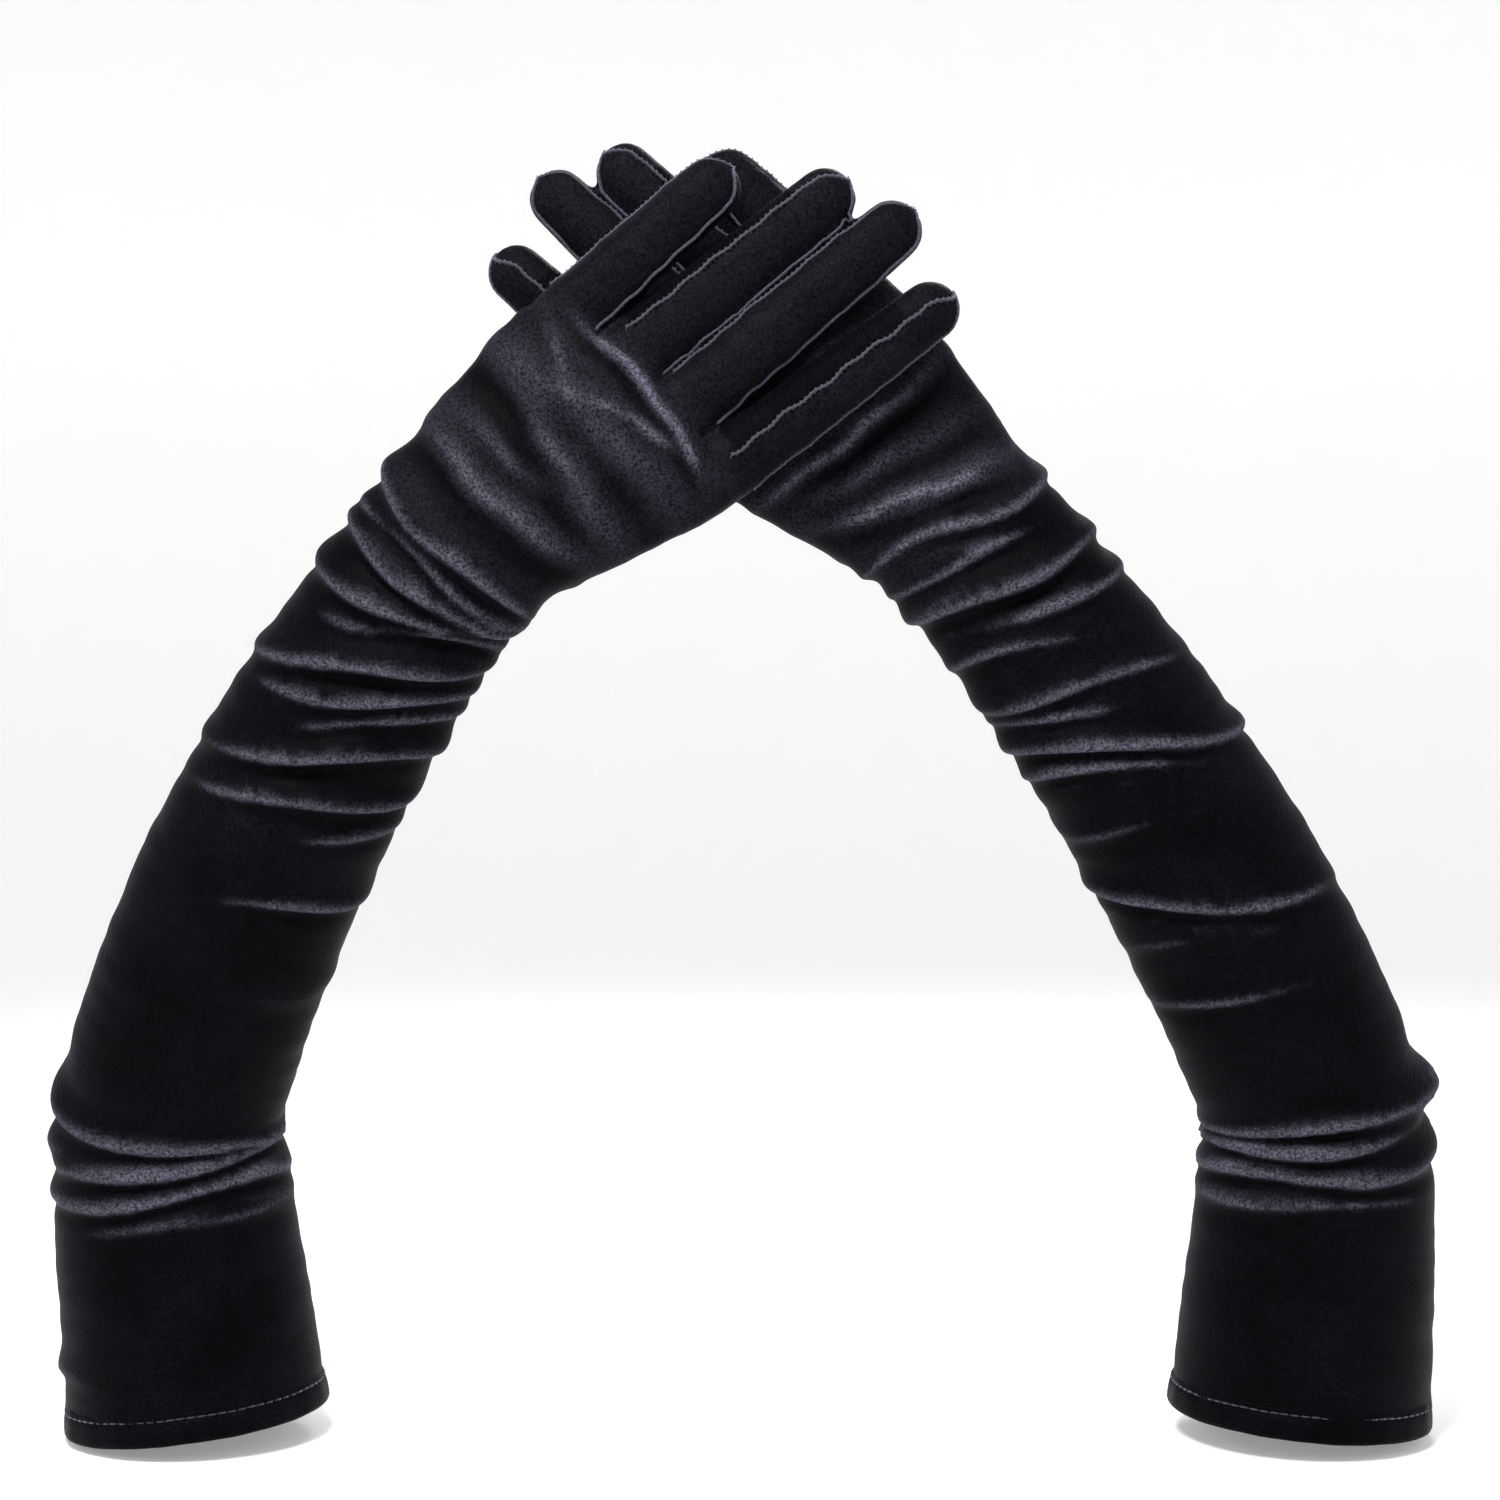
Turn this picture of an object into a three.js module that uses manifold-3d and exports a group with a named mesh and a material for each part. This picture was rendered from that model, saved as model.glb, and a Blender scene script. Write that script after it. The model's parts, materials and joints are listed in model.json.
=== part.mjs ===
// A pair of opera gloves, standing in the shape of two raised arms whose hands cross at the top.
// Millimetres and degrees. +Z is up, +X is to the right of someone who faces the crossed hands,
// and +Y points away from them. The origin is midway between the two cuffs, at their lowest level.
//
// Each glove is a chain: cuff, elbow, wrist, knuckles. Every piece is placed from that chain.
// The left glove's hand lies in front of the right glove's hand, and both show their backs.

import * as THREE from 'three';
import { mergeVertices } from 'three/addons/utils/BufferGeometryUtils.js';
import Module from 'manifold-3d';

const wasm = await Module();
wasm.setup();

// Cloth
const WALL = 1.6;                    // stretch velvet with its backing
const GAP = 0.4;                     // between two pieces that meet
const HEM_HEIGHT = 9;                // turned-up cuff edge
const HEM_WALL = 2.8;                // two layers, sewn flat

// Sleeves: half sizes across the arm (width) and front to back (depth)
const CUFF_WIDTH = 44.5;
const CUFF_DEPTH = 43;
const ELBOW_WIDTH = 38;
const ELBOW_DEPTH = 36;
const WRIST_WIDTH = 31;
const WRIST_DEPTH = 22;
const UPPER_LENGTH = 104;            // cuff to elbow
const FOREARM_BOW = 11;              // outward curve of the forearm
const FOREARM_SLIMMING = 1.6;        // over 1, it slims mostly towards the wrist

// Folding sleeves: the soft rings that crumple, and how far the pivot lies towards the crease
const RING_HALF = 4;                 // least half height of a soft ring
const ELBOW_PIVOT_IN = 14;
const RING_BULGE = 2;

// Hand: u runs from wrist to fingertips, v from the little finger's side to the thumb's side
const HAND_FORWARD = 45;             // both hands stand this far in front of the elbows
const HAND_CLEARANCE = 1.5;          // between the front hand and the back hand
const PALM_DEPTH = 13.5;             // half thickness of the palm
const KNUCKLE_DEPTH = 12.5;          // half thickness where the fingers start
const KNUCKLE_REACH = 79;            // wrist to the furthest finger root
const KNUCKLE_DROP = 11;             // how far the outer finger roots fall back
const KNUCKLE_SPAN = 44;             // over this distance to each side
const KNUCKLE_CREST = 14;            // v of the furthest root
const PALM_CUT = 9;                  // the palm's edge ends short of the back's, to let fingers curl
const PALM_CUT_SPREAD = 1.6;         // over 1, the cut is full before the palm's middle
const WRIST_SQUARENESS = 2;          // an ellipse
const KNUCKLE_SQUARENESS = 3.4;      // boxier
const LITTLE_SPARE = 4.7;            // hand's edge beyond the little finger's root
const THUMB_SPARE = 3.9;             // hand's edge beyond the index finger's root

// Fingers: named from the little finger's side
const FINGER_MIDLINE = 5;            // v midway between ring and middle finger
const FINGER_WIDTH = 9.6;            // half width at the root
const FINGER_SPACE = 3.8;            // between two roots, for both legs of a fourchette
const FINGER_PITCH = 2 * FINGER_WIDTH + FINGER_SPACE;
const FINGER_DEPTH = 9.2;            // half thickness at the root
const FINGER_TAPER = 0.86;           // size at the last joint over size at the root
const FINGERTIP = 9;                 // length of the rounded end
// Rings of a digit: share of its straight part, and share of the taper reached there
const DIGIT_RINGS = [[0, 0], [0.34, 0.2], [0.68, 0.6], [1, 1]];
// Rings of its rounded end: share of FINGERTIP, and size over that at the last joint
const TIP_RINGS = [[0.55, 0.84], [0.88, 0.47]];
const TIP_SLOPE = 0.4;               // thins the wall where a small ring slopes steeply
const TIP_SET_BACK = 0.6;            // share of the wall by which the inner rings of the end lie back
const FINGERS = [
  { name: 'little', length: 71, splay: -1 },
  { name: 'ring', length: 88, splay: 1.5 },
  { name: 'middle', length: 95, splay: 0.5 },
  { name: 'index', length: 91, splay: 3.5 },
];

// The hand's two edges, as v at equal steps from the wrist to the finger roots
const FINGERS_HALF = 1.5 * FINGER_PITCH + FINGER_WIDTH;
const LITTLE_EDGE = [-WRIST_WIDTH, -37, -41, FINGER_MIDLINE - FINGERS_HALF - LITTLE_SPARE];
const THUMB_EDGE = [WRIST_WIDTH, 40, 47, FINGER_MIDLINE + FINGERS_HALF + THUMB_SPARE];

// Thumb piece, let into a hole in the palm and lying along the hand's edge
const THUMB_ROOT_U = 28;
const THUMB_ROOT_V = 26.5;
const THUMB_DEPTH_OFF = 9;           // its axis lies this far to the palm side of the hand's middle
const THUMB_RADIUS = 9.4;
const THUMB_LENGTH = 43;
const THUMB_ANGLE = 14;              // away from the fingers' direction
const THUMB_HOLE_CLEARANCE = 1.2;
const THUMB_SWING = 45;              // out from the hand's edge
const SWING_STEPS = [0, 1 / 6, 2 / 6, 3 / 6, 4 / 6, 5 / 6, 1];

// Fourchettes: the strips between two fingers, one leg on each
const LEG_THICKNESS = 0.8;
const LEG_ARC = 34;                  // each way round the finger's side
const LEG_START = 5;                 // from the finger's root
const LEG_STEPS = [0.3, 0.55, 0.74]; // shares of the finger's length, the last where the leg ends
const LEG_TURNS = [-1, -0.5, 0, 0.5, 1];

const HAND_SPACING = THUMB_DEPTH_OFF + THUMB_RADIUS + PALM_DEPTH + HAND_CLEARANCE;

// How each glove is held. side is +1 for the left glove, whose inner side faces +X.
// forearmLength runs from elbow to wrist; the back glove is pulled up further, so its gathers
// take up less. Bends are the most that a joint makes, from a straight arm, hand or finger.
const POSES = [
  {
    name: 'left', side: 1, elbow: [-199, 0, 109], cuffLean: 6.3, forearmLean: 29.3,
    forearmLength: 231, forward: HAND_FORWARD + HAND_SPACING / 2, handRise: 41,
    elbowBend: 95, wristPalm: 0, wristBack: 60, fingersPalm: 0, fingersBack: 20,
  },
  {
    name: 'right', side: -1, elbow: [194, 0, 110], cuffLean: 4, forearmLean: 32.7,
    forearmLength: 240, forward: HAND_FORWARD - HAND_SPACING / 2, handRise: 45,
    elbowBend: 95, wristPalm: 55, wristBack: 0, fingersPalm: 60, fingersBack: 0,
  },
];

// Cloth finishes
const VELVET = { color: 0x0d0c12, roughness: 0.85, metalness: 0 };
const VELVET_RIBBED = { color: 0x08080c, roughness: 0.9, metalness: 0 };
const HEM_CLOTH = { color: 0x100f15, roughness: 0.88, metalness: 0 };

const SLEEVE_SIDES = 24;             // of the hand too, so that their rings meet point to point
const HAND_SHARES = [0, 1 / 6, 2 / 6, 3 / 6, 4 / 6, 5 / 6, 1];
const FINGER_SIDES = 12;

const Y = new THREE.Vector3(0, 1, 0);
const rad = THREE.MathUtils.degToRad;
const mix = THREE.MathUtils.lerp;
const tanDeg = (angle) => Math.tan(rad(angle));
const along = (start, ...steps) => {
  const point = start.clone();
  for (const [direction, distance] of steps) point.addScaledVector(direction, distance);
  return point;
};

// ---- Closed bodies from rings of points ----

// A tube wall between outer rings and inner rings. Rings turn counter-clockwise about the
// direction in which the list runs. With a tip, both walls close on a point there.
function wall(outer, inner, tip) {
  const sides = outer[0].length;
  const points = [...outer.flat(), ...inner.flat()];
  const index = [];
  const at = (layer, ring, k) => (layer * outer.length + ring) * sides + (k % sides);
  for (let ring = 0; ring + 1 < outer.length; ring++) {
    for (let k = 0; k < sides; k++) {
      const corners = (layer) => [
        at(layer, ring, k), at(layer, ring, k + 1), at(layer, ring + 1, k + 1), at(layer, ring + 1, k),
      ];
      const [a, b, c, d] = corners(0);
      index.push(a, b, c, a, c, d);
      const [e, f, g, h] = corners(1);
      index.push(e, g, f, e, h, g);
    }
  }
  const last = outer.length - 1;
  for (let k = 0; k < sides; k++) {
    index.push(at(0, 0, k), at(1, 0, k), at(0, 0, k + 1));
    index.push(at(0, 0, k + 1), at(1, 0, k), at(1, 0, k + 1));
    if (tip) {
      index.push(at(0, last, k), at(0, last, k + 1), points.length);
      index.push(at(1, last, k + 1), at(1, last, k), points.length + 1);
    } else {
      index.push(at(0, last, k), at(0, last, k + 1), at(1, last, k));
      index.push(at(0, last, k + 1), at(1, last, k + 1), at(1, last, k));
    }
  }
  if (tip) points.push(tip.outer, tip.inner);
  return geometry(points, index);
}

// A curved plate between two grids of points, outer and inner, with its four edges closed.
function plate(outer, inner) {
  const [rows, columns] = [outer.length, outer[0].length];
  const points = [...outer.flat(), ...inner.flat()];
  const at = (layer, row, column) => (layer * rows + row) * columns + column;
  const index = [];
  const quad = (a, b, c, d) => index.push(a, b, c, a, c, d);
  for (let i = 0; i + 1 < rows; i++) {
    for (let j = 0; j + 1 < columns; j++) {
      quad(at(0, i, j), at(0, i, j + 1), at(0, i + 1, j + 1), at(0, i + 1, j));
      quad(at(1, i, j), at(1, i + 1, j), at(1, i + 1, j + 1), at(1, i, j + 1));
    }
    quad(at(0, i, 0), at(0, i + 1, 0), at(1, i + 1, 0), at(1, i, 0));
    const end = columns - 1;
    quad(at(0, i + 1, end), at(0, i, end), at(1, i, end), at(1, i + 1, end));
  }
  for (let j = 0; j + 1 < columns; j++) {
    quad(at(0, 0, j + 1), at(0, 0, j), at(1, 0, j), at(1, 0, j + 1));
    const top = rows - 1;
    quad(at(0, top, j), at(0, top, j + 1), at(1, top, j + 1), at(1, top, j));
  }
  return geometry(points, index);
}

function geometry(points, index) {
  const result = new THREE.BufferGeometry();
  const flat = points.flatMap((point) => point.toArray());
  result.setAttribute('position', new THREE.Float32BufferAttribute(flat, 3));
  result.setIndex(index);
  result.computeVertexNormals();
  return result;
}

function cut(body, ...tools) {
  const solid = (source) => {
    const bare = source.clone();
    bare.deleteAttribute('normal');
    bare.deleteAttribute('uv');
    const merged = mergeVertices(bare);
    return new wasm.Manifold(new wasm.Mesh({
      numProp: 3,
      vertProperties: new Float32Array(merged.attributes.position.array),
      triVerts: new Uint32Array(merged.index.array),
    }));
  };
  const mesh = tools.reduce((left, tool) => left.subtract(solid(tool)), solid(body)).getMesh();
  const result = new THREE.BufferGeometry();
  const places = new Float32Array(mesh.vertProperties);
  result.setAttribute('position', new THREE.BufferAttribute(places, 3));
  result.setIndex(new THREE.BufferAttribute(new Uint32Array(mesh.triVerts), 1));
  result.computeVertexNormals();
  return result;
}

function mesh(name, shape, finish) {
  const piece = new THREE.Mesh(shape, new THREE.MeshStandardMaterial(finish));
  piece.name = name;
  return piece;
}

// ---- Sections ----

// A rounded section: squareness 2 is an ellipse, more is boxier. x lies along the first side
// direction and y along the second.
function section(angle, width, depth, squareness = 2) {
  const power = 2 / squareness;
  const bend = (value) => Math.sign(value) * Math.abs(value) ** power;
  return { x: width * bend(Math.cos(angle)), y: depth * bend(Math.sin(angle)) };
}

const ringAngles = (sides) => Array.from({ length: sides }, (_, k) => (k * 2 * Math.PI) / sides);

// One tube, described by place(t, x, y) -> point, size(share, inset) -> {width, depth},
// and the two ends as functions of the section point: how far along each generator line it starts
// and stops. Returns matching outer and inner rings.
function tubeRings({ place, size, start, stop, steps, sides, thickness = WALL }) {
  const at = (share, angle, inset) => {
    const { width, depth } = size(share, inset);
    return section(angle, width, depth);
  };
  const point = (share, angle, inset) => {
    const [first, last] = [at(0, angle, inset), at(1, angle, inset)];
    const { x, y } = at(share, angle, inset);
    return place(mix(start(first.x, first.y), stop(last.x, last.y), share), x, y);
  };
  const layer = (inset) => Array.from({ length: steps + 1 }, (_, i) => (
    ringAngles(sides).map((angle) => point(i / steps, angle, inset))));
  return { outer: layer(0), inner: layer(thickness) };
}

// A soft ring between the facing end rings of two tubes, GAP away from each along its own tube.
function softRing(below, belowward, above, aboveward, hub) {
  const layer = (key) => {
    const low = below[key].at(-1).map((point) => along(point, [belowward, GAP]));
    const high = above[key][0].map((point) => along(point, [aboveward, -GAP]));
    const middle = low.map((point, k) => {
      const centre = point.clone().lerp(high[k], 0.5);
      return along(centre, [centre.clone().sub(hub).normalize(), RING_BULGE]);
    });
    return [low, middle, high];
  };
  return wall(layer('outer'), layer('inner'));
}

// ---- One glove ----

function glove(pose) {
  const { name, side } = pose;
  const pieces = [];
  const frames = { joints: {}, mounts: {}, places: {} };
  const add = (part, shape, finish) => pieces.push(mesh(`${name}_${part}`, shape, finish));

  // Chain: elbow, cuff and wrist, with the direction of each sleeve
  const elbow = new THREE.Vector3(...pose.elbow);
  const leaning = (angle) => new THREE.Vector3(side * Math.sin(rad(angle)), 0, Math.cos(rad(angle)));
  const upward = leaning(-pose.cuffLean);
  const cuff = along(elbow, [upward, -UPPER_LENGTH]);
  const flatLength = Math.sqrt(pose.forearmLength ** 2 - pose.forward ** 2);
  const wrist = along(elbow, [leaning(pose.forearmLean), flatLength], [Y, -pose.forward]);
  const forearmward = wrist.clone().sub(elbow).normalize();
  const inwardOf = (direction) => Y.clone().cross(direction).normalize().multiplyScalar(side);
  const sidesOf = (direction) => [inwardOf(direction), direction.clone().cross(inwardOf(direction))];
  const u = leaning(90 - pose.handRise);
  const v = inwardOf(u);

  // Elbow: each sleeve stays on its own side of the crease at the sharpest bend
  const restBend = THREE.MathUtils.radToDeg(upward.angleTo(forearmward));
  const crease = forearmward.clone().sub(upward).normalize();
  const elbowPivot = along(elbow, [crease, ELBOW_PIVOT_IN]);
  const pivotInward = ELBOW_PIVOT_IN * Math.cos(rad(restBend / 2));
  const pivotAlong = ELBOW_PIVOT_IN * Math.sin(rad(restBend / 2));
  const elbowGapOf = (direction, sides) => {
    const flat = crease.clone().projectOnPlane(direction).normalize();
    return (x, y) => pivotAlong + RING_HALF + tanDeg(pose.elbowBend / 2)
      * Math.max(0, x * flat.dot(sides[0]) + y * flat.dot(sides[1]) - pivotInward);
  };

  // Wrist: the sideways bend at rest, and the most that it folds to the palm and to the back
  const riseOf = (direction) => THREE.MathUtils.radToDeg(Math.atan2(direction.z, direction.x * side));
  const sideBend = riseOf(forearmward) - riseOf(u);
  const palmBendAtRest = THREE.MathUtils.radToDeg(Math.asin(-forearmward.y));
  const palmBend = palmBendAtRest + pose.wristPalm;
  const backBend = Math.max(0, pose.wristBack - palmBendAtRest);
  const wristGap = (x, y) => {
    const toPalm = y * side;
    const fold = toPalm > 0 ? toPalm * tanDeg(palmBend / 2) : -toPalm * tanDeg(backBend / 2);
    return RING_HALF + fold + x * tanDeg(sideBend / 2);
  };

  // Upper sleeve with its turned hem
  const upperSides = sidesOf(upward);
  const upperPlace = (t, x, y) => along(cuff, [upward, t], [upperSides[0], x], [upperSides[1], y]);
  const upperSize = (from, to) => (share, inset) => {
    const t = mix(from, to, share) / UPPER_LENGTH;
    return {
      width: mix(CUFF_WIDTH, ELBOW_WIDTH, t) - inset,
      depth: mix(CUFF_DEPTH, ELBOW_DEPTH, t) - inset,
    };
  };
  const hem = tubeRings({
    place: upperPlace, size: upperSize(0, HEM_HEIGHT), start: () => 0, stop: () => HEM_HEIGHT,
    steps: 1, sides: SLEEVE_SIDES, thickness: HEM_WALL,
  });
  add('hem', wall(hem.outer, hem.inner), HEM_CLOTH);
  const upperGap = elbowGapOf(upward, upperSides);
  const upper = tubeRings({
    place: upperPlace, size: upperSize(HEM_HEIGHT, UPPER_LENGTH), start: () => HEM_HEIGHT + GAP,
    stop: (x, y) => UPPER_LENGTH - upperGap(x, y), steps: 4, sides: SLEEVE_SIDES,
  });
  add('upper_sleeve', wall(upper.outer, upper.inner), VELVET);

  // Forearm sleeve, bowed outwards
  const forearmSides = sidesOf(forearmward);
  const forearmPlace = (t, x, y) => {
    const share = t / pose.forearmLength;
    const bow = 4 * FOREARM_BOW * share * (1 - share);
    return along(elbow, [forearmward, t], [forearmSides[0], x - bow], [forearmSides[1], y]);
  };
  const forearmSize = (share, inset) => {
    const slim = share ** FOREARM_SLIMMING;
    return {
      width: mix(ELBOW_WIDTH, WRIST_WIDTH, slim) - inset,
      depth: mix(ELBOW_DEPTH, WRIST_DEPTH, slim) - inset,
    };
  };
  const forearm = tubeRings({
    place: forearmPlace, size: forearmSize, start: elbowGapOf(forearmward, forearmSides),
    stop: (x, y) => pose.forearmLength - wristGap(x, y), steps: 7, sides: SLEEVE_SIDES,
  });
  add('forearm_sleeve', wall(forearm.outer, forearm.inner), VELVET);
  add('elbow_gathers', softRing(upper, upward, forearm, forearmward, elbow), VELVET);

  // Hand: the trank, a flat rounded tube that widens to the finger roots
  const handPlace = (t, x, y) => along(wrist, [u, t], [v, x], [Y, y * side]);
  const edgeAt = (list, share) => {
    const curve = new THREE.SplineCurve(list.map((value, i) => new THREE.Vector2(i, value)));
    return curve.getPoint(share).y;
  };
  const rootLine = (across) => KNUCKLE_REACH - KNUCKLE_DROP * ((across - KNUCKLE_CREST) / KNUCKLE_SPAN) ** 2;
  const handDepth = (share) => (share < 0.5
    ? mix(WRIST_DEPTH, PALM_DEPTH, Math.sin(share * Math.PI))
    : mix(PALM_DEPTH, KNUCKLE_DEPTH, share * 2 - 1));
  const handPoint = (share, angle, inset) => {
    const [low, high] = [edgeAt(LITTLE_EDGE, share), edgeAt(THUMB_EDGE, share)];
    const squareness = mix(WRIST_SQUARENESS, KNUCKLE_SQUARENESS, share);
    const { x, y } = section(angle, (high - low) / 2 - inset, handDepth(share) - inset, squareness);
    return { across: (low + high) / 2 + x, y };
  };
  const handStop = ({ across, y }) => {
    const palmShare = Math.max(0, (y * side) / KNUCKLE_DEPTH);
    return rootLine(across) - PALM_CUT * Math.min(1, palmShare * PALM_CUT_SPREAD);
  };
  const handLayer = (inset) => HAND_SHARES.map((share) => ringAngles(SLEEVE_SIDES).map((angle) => {
    const first = handPoint(0, angle, inset);
    const { across, y } = handPoint(share, angle, inset);
    const t = mix(wristGap(first.across, first.y), handStop(handPoint(1, angle, inset)), share);
    return handPlace(t, across, y);
  }));
  const hand = { outer: handLayer(0), inner: handLayer(WALL) };

  // Thumb piece: a closed sleeve swinging about its root
  const swung = (angle) => along(new THREE.Vector3(), [u, Math.cos(rad(angle))], [v, Math.sin(rad(angle))]);
  const thumbward = swung(THUMB_ANGLE);
  const thumbRoot = along(wrist, [u, THUMB_ROOT_U], [v, THUMB_ROOT_V], [Y, THUMB_DEPTH_OFF]);
  const digitRings = (length) => [
    ...DIGIT_RINGS.map(([share, taper]) => (
      { s: share * (length - FINGERTIP), size: mix(1, FINGER_TAPER, taper), back: 0 })),
    ...TIP_RINGS.map(([share, size]) => (
      { s: length - FINGERTIP * (1 - share), size: size * FINGER_TAPER, back: TIP_SET_BACK })),
  ];
  const digit = ({ root, direction, width, depth, length, start, grow = 0 }) => {
    const sides = sidesOf(direction);
    const layer = (inset) => digitRings(length).map(({ s, size, back }) => (
      ringAngles(FINGER_SIDES).map((angle) => {
        const rim = inset * Math.min(1, size + TIP_SLOPE);
        const { x, y } = section(angle, width * size - rim, depth * size - rim);
        const reach = (s === 0 ? start(x) : s) - inset * back;
        return along(root, [direction, reach], [sides[0], x], [sides[1], y]);
      })));
    return {
      outer: layer(-grow), inner: layer(WALL),
      tip: {
        outer: along(root, [direction, length + grow]),
        inner: along(root, [direction, length - WALL]),
      },
    };
  };
  const thumbAt = (direction, grow = 0) => digit({
    root: thumbRoot, direction, width: THUMB_RADIUS, depth: THUMB_RADIUS, length: THUMB_LENGTH,
    start: () => 0, grow,
  });
  const thumb = thumbAt(thumbward);
  add('thumb', wall(thumb.outer, thumb.inner, thumb.tip), VELVET);
  const room = new THREE.SphereGeometry(THUMB_RADIUS + THUMB_HOLE_CLEARANCE, 16, 12);
  room.translate(...thumbRoot.toArray());
  const swings = SWING_STEPS.map((step) => swung(THUMB_ANGLE + step * THUMB_SWING));
  const paths = swings.map((direction) => solidDigit(thumbAt(direction, THUMB_HOLE_CLEARANCE)));
  add('trank', cut(wall(hand.outer, hand.inner), room, ...paths), VELVET);
  add('wrist_gathers', softRing(forearm, forearmward, hand, u, wrist), VELVET);

  // Fingers, each swinging about a line across its root. A hand folds only to its free side.
  const toBack = pose.wristBack > 0;
  const handFold = { axis: u.clone().cross(Y).multiplyScalar(toBack ? -1 : 1) };
  const fingerRange = [0, toBack ? pose.fingersBack : pose.fingersPalm];
  FINGERS.forEach((finger, order) => {
    const across = FINGER_MIDLINE + (order - 1.5) * FINGER_PITCH;
    const pivotAt = rootLine(across) + 2 * GAP;
    const root = along(wrist, [u, pivotAt], [v, across]);
    const direction = swung(finger.splay);
    const sides = sidesOf(direction);
    const start = (x) => (rootLine(across + x) - rootLine(across) + x * Math.sin(rad(finger.splay)))
      / Math.cos(rad(finger.splay));
    const shape = digit({
      root, direction, width: FINGER_WIDTH, depth: FINGER_DEPTH, length: finger.length, start,
    });
    add(`${finger.name}_finger`, wall(shape.outer, shape.inner, shape.tip), VELVET);
    frames.joints[`${name}_${finger.name}`] = { pos: root, ...handFold, range: fingerRange };
    frames.places[`${name}_${finger.name}`] = { root, direction };
    const leg = (middle) => {
      const reaches = [LEG_START, ...LEG_STEPS.map((share) => share * finger.length)];
      const grid = (offset) => reaches.map((s) => {
        const size = mix(1, FINGER_TAPER, Math.min(1, s / (finger.length - FINGERTIP)));
        return LEG_TURNS.map((turn) => {
          const angle = middle + turn * rad(LEG_ARC);
          const { x, y } = section(angle, FINGER_WIDTH * size + offset, FINGER_DEPTH * size + offset);
          return along(root, [direction, s], [sides[0], x], [sides[1], y]);
        });
      });
      return plate(grid(GAP + LEG_THICKNESS), grid(GAP));
    };
    if (order < 3) {
      const next = FINGERS[order + 1].name;
      add(`fourchette_${finger.name}_${next}_on_${finger.name}`, leg(0), VELVET_RIBBED);
    }
    if (order > 0) {
      const before = FINGERS[order - 1].name;
      add(`fourchette_${before}_${finger.name}_on_${finger.name}`, leg(Math.PI), VELVET_RIBBED);
    }
  });

  const elbowAxis = upward.clone().negate().cross(forearmward).normalize();
  frames.joints[`${name}_elbow`] = {
    pos: elbowPivot, axis: elbowAxis, range: [-restBend, pose.elbowBend - restBend],
  };
  frames.joints[`${name}_wrist`] = {
    pos: wrist, ...handFold, range: [0, toBack ? pose.wristBack : pose.wristPalm],
  };
  frames.joints[`${name}_thumb`] = { pos: thumbRoot, axis: u.clone().cross(v), range: [0, THUMB_SWING] };
  frames.mounts[`${name}_cuff_rim`] = {
    pos: along(cuff, [upperSides[0], CUFF_WIDTH - HEM_WALL / 2]), axis: upward.clone().negate(),
  };
  Object.assign(frames.places, {
    [`${name}_cuff`]: { root: cuff, direction: upward },
    [`${name}_forearm`]: { root: elbow, direction: forearmward },
    [`${name}_hand`]: { root: wrist, direction: u },
    [`${name}_thumb`]: { root: thumbRoot, direction: thumbward },
  });
  return { pieces, frames };
}

// The outside of a digit as one solid with a flat root.
function solidDigit({ outer, tip }) {
  const sides = outer[0].length;
  const points = outer.flat();
  const centre = outer[0].reduce((sum, point) => sum.add(point), new THREE.Vector3()).divideScalar(sides);
  points.push(centre, tip.outer);
  const index = [];
  for (let ring = 0; ring + 1 < outer.length; ring++) {
    for (let k = 0; k < sides; k++) {
      const next = (k + 1) % sides;
      const [low, high] = [ring * sides, (ring + 1) * sides];
      index.push(low + k, low + next, high + next, low + k, high + next, high + k);
    }
  }
  const last = (outer.length - 1) * sides;
  for (let k = 0; k < sides; k++) {
    const next = (k + 1) % sides;
    index.push(points.length - 2, next, k);
    index.push(last + k, last + next, points.length - 1);
  }
  return geometry(points, index);
}

const gloves = new THREE.Group();
gloves.userData = { joints: {}, mounts: {}, places: {} };
for (const pose of POSES) {
  const { pieces, frames } = glove(pose);
  gloves.add(...pieces);
  for (const key of ['joints', 'mounts', 'places']) Object.assign(gloves.userData[key], frames[key]);
}

export default gloves;
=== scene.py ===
"""A pair of black stretch-velvet opera gloves, laid out as a Blender add-on and run as a script."""

import json
import math

import bmesh
import bpy
import numpy as np
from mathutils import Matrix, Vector, noise
from mathutils.bvhtree import BVHTree


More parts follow.
